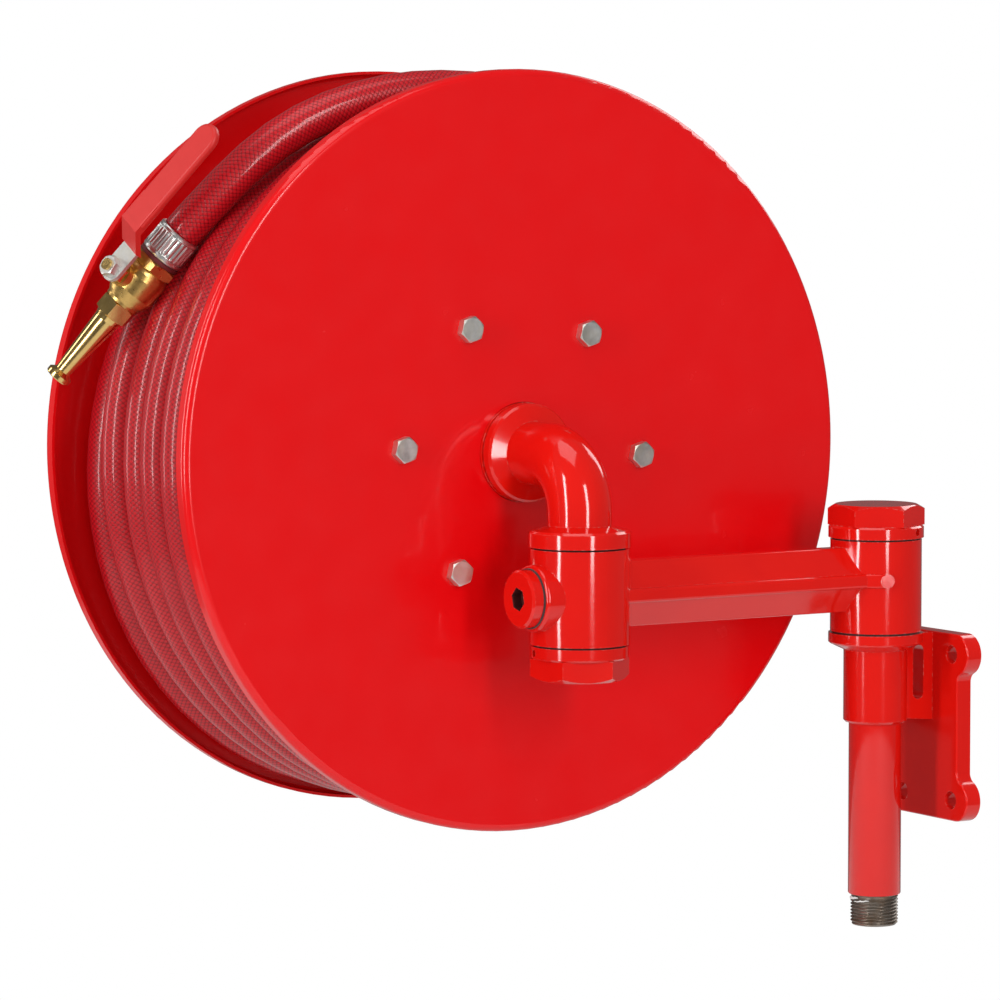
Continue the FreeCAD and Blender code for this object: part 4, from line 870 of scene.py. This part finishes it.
# The socket's faces take the near-black red: painted shade inside the hexagon recess.
second_finish("arm_plug", painted_socket_shade, in_socket)
second_finish("valve_lever_plate", vinyl, under_grip)
print("second finishes on arm_plug and valve_lever_plate")

# %% [markdown]
# ## What the hose is
# A hose is not a rigid piece: its true length, its thickness, how stiff it is, and what hangs at its
# end all matter to how it hangs and unrolls.

# %% [markdown]
# ## Floor and light
# The reel hangs on a wall in use, but a wall would hide its back, so it stands alone over a pale
# floor. Large soft lights at both sides give the castings their long clean highlights.

# %% The floor
floor_radius, floor_drop = 2.6, 0.75     # metres; the drop is from the reel's lowest point


def pale_stage():
    """Round floor, far enough below to take only a soft shadow."""
    material, tree, shader = new_finish("pale_floor")
    tree.links.new(blend_colour(tree, noise(tree, 400.0), (0.66, 0.66, 0.66), (0.70, 0.70, 0.70)),
                   shader.inputs["Base Color"])
    shader.inputs["Roughness"].default_value = 0.9
    shape = bmesh.new()
    bmesh.ops.create_circle(shape, cap_ends=True, segments=96, radius=floor_radius)
    mesh = bpy.data.meshes.new("floor")
    shape.to_mesh(mesh)
    shape.free()
    floor = bpy.data.objects.new("floor", mesh)
    floor.location = (0, 0, cad_box[0].z - floor_drop)
    mesh.materials.append(material)
    bpy.context.collection.objects.link(floor)


pale_stage()
print("floor", floor_drop, "m below the reel")

# %% [markdown]
# ### Soft boxes
# Glossy paint shows the shape of every lamp, so the lamps are tall narrow boxes at the sides, which
# draw one long clean line down each pipe. Round lamps would leave blots on the castings.

# %% Lights
def soft_light(name, azimuth_deg, elevation_deg, distance, width, height, power):
    """Rectangular soft box that looks at the drum; azimuth is counted as the camera's is."""
    data = bpy.data.lights.new(name, "AREA")
    data.shape = "RECTANGLE"
    data.size, data.size_y = width, height
    data.energy = power
    around, above = math.radians(azimuth_deg), math.radians(elevation_deg)
    direction = Vector((math.sin(around) * math.cos(above),
                        -math.cos(around) * math.cos(above), math.sin(above)))
    lamp = bpy.data.objects.new(name, data)
    lamp.location = drum_centre + direction * distance
    lamp.rotation_euler = direction.to_track_quat("Z", "Y").to_euler()
    bpy.context.collection.objects.link(lamp)


soft_light("left_strip", 11.0, 12.0, 3.2, 0.36, 2.4, 42.0)
soft_light("right_strip", 86.0, 14.0, 3.5, 0.5, 2.6, 50.0)
soft_light("far_left_strip", -45.0, 12.0, 2.8, 0.4, 2.0, 14.0)
soft_light("top_light", 30.0, 78.0, 2.6, 1.6, 1.6, 13.0)
soft_light("back_light", 200.0, 30.0, 3.0, 1.5, 1.5, 22.0)
print("lights:", len(bpy.data.lights))

# %% [markdown]
# The world is plain white to the camera, as a studio's paper is, but dimmer as a source of light
# and dimmer still in reflections. One white world for everything would wash the reds out to pink.

# %% White surroundings
seen_strength, fill_strength, mirrored_strength = 1.0, 0.46, 0.11
world = bpy.data.worlds.new("studio")
world.use_nodes = True
bpy.context.scene.world = world
sky = world.node_tree
background = sky.nodes["Background"]
background.inputs["Color"].default_value = (1.0, 1.0, 1.0, 1.0)
seen = add_node(sky, "ShaderNodeLightPath")
mirrored = add_node(sky, "ShaderNodeMapRange", {"Value": seen.outputs["Is Glossy Ray"]},
                    To_Min=fill_strength, To_Max=mirrored_strength)
strength = add_node(sky, "ShaderNodeMapRange",
                    {"Value": seen.outputs["Is Camera Ray"], "To Min": mirrored.outputs["Result"]},
                    To_Max=seen_strength)
sky.links.new(strength.outputs["Result"], background.inputs["Strength"])
bpy.context.scene.view_settings.view_transform = "Standard"
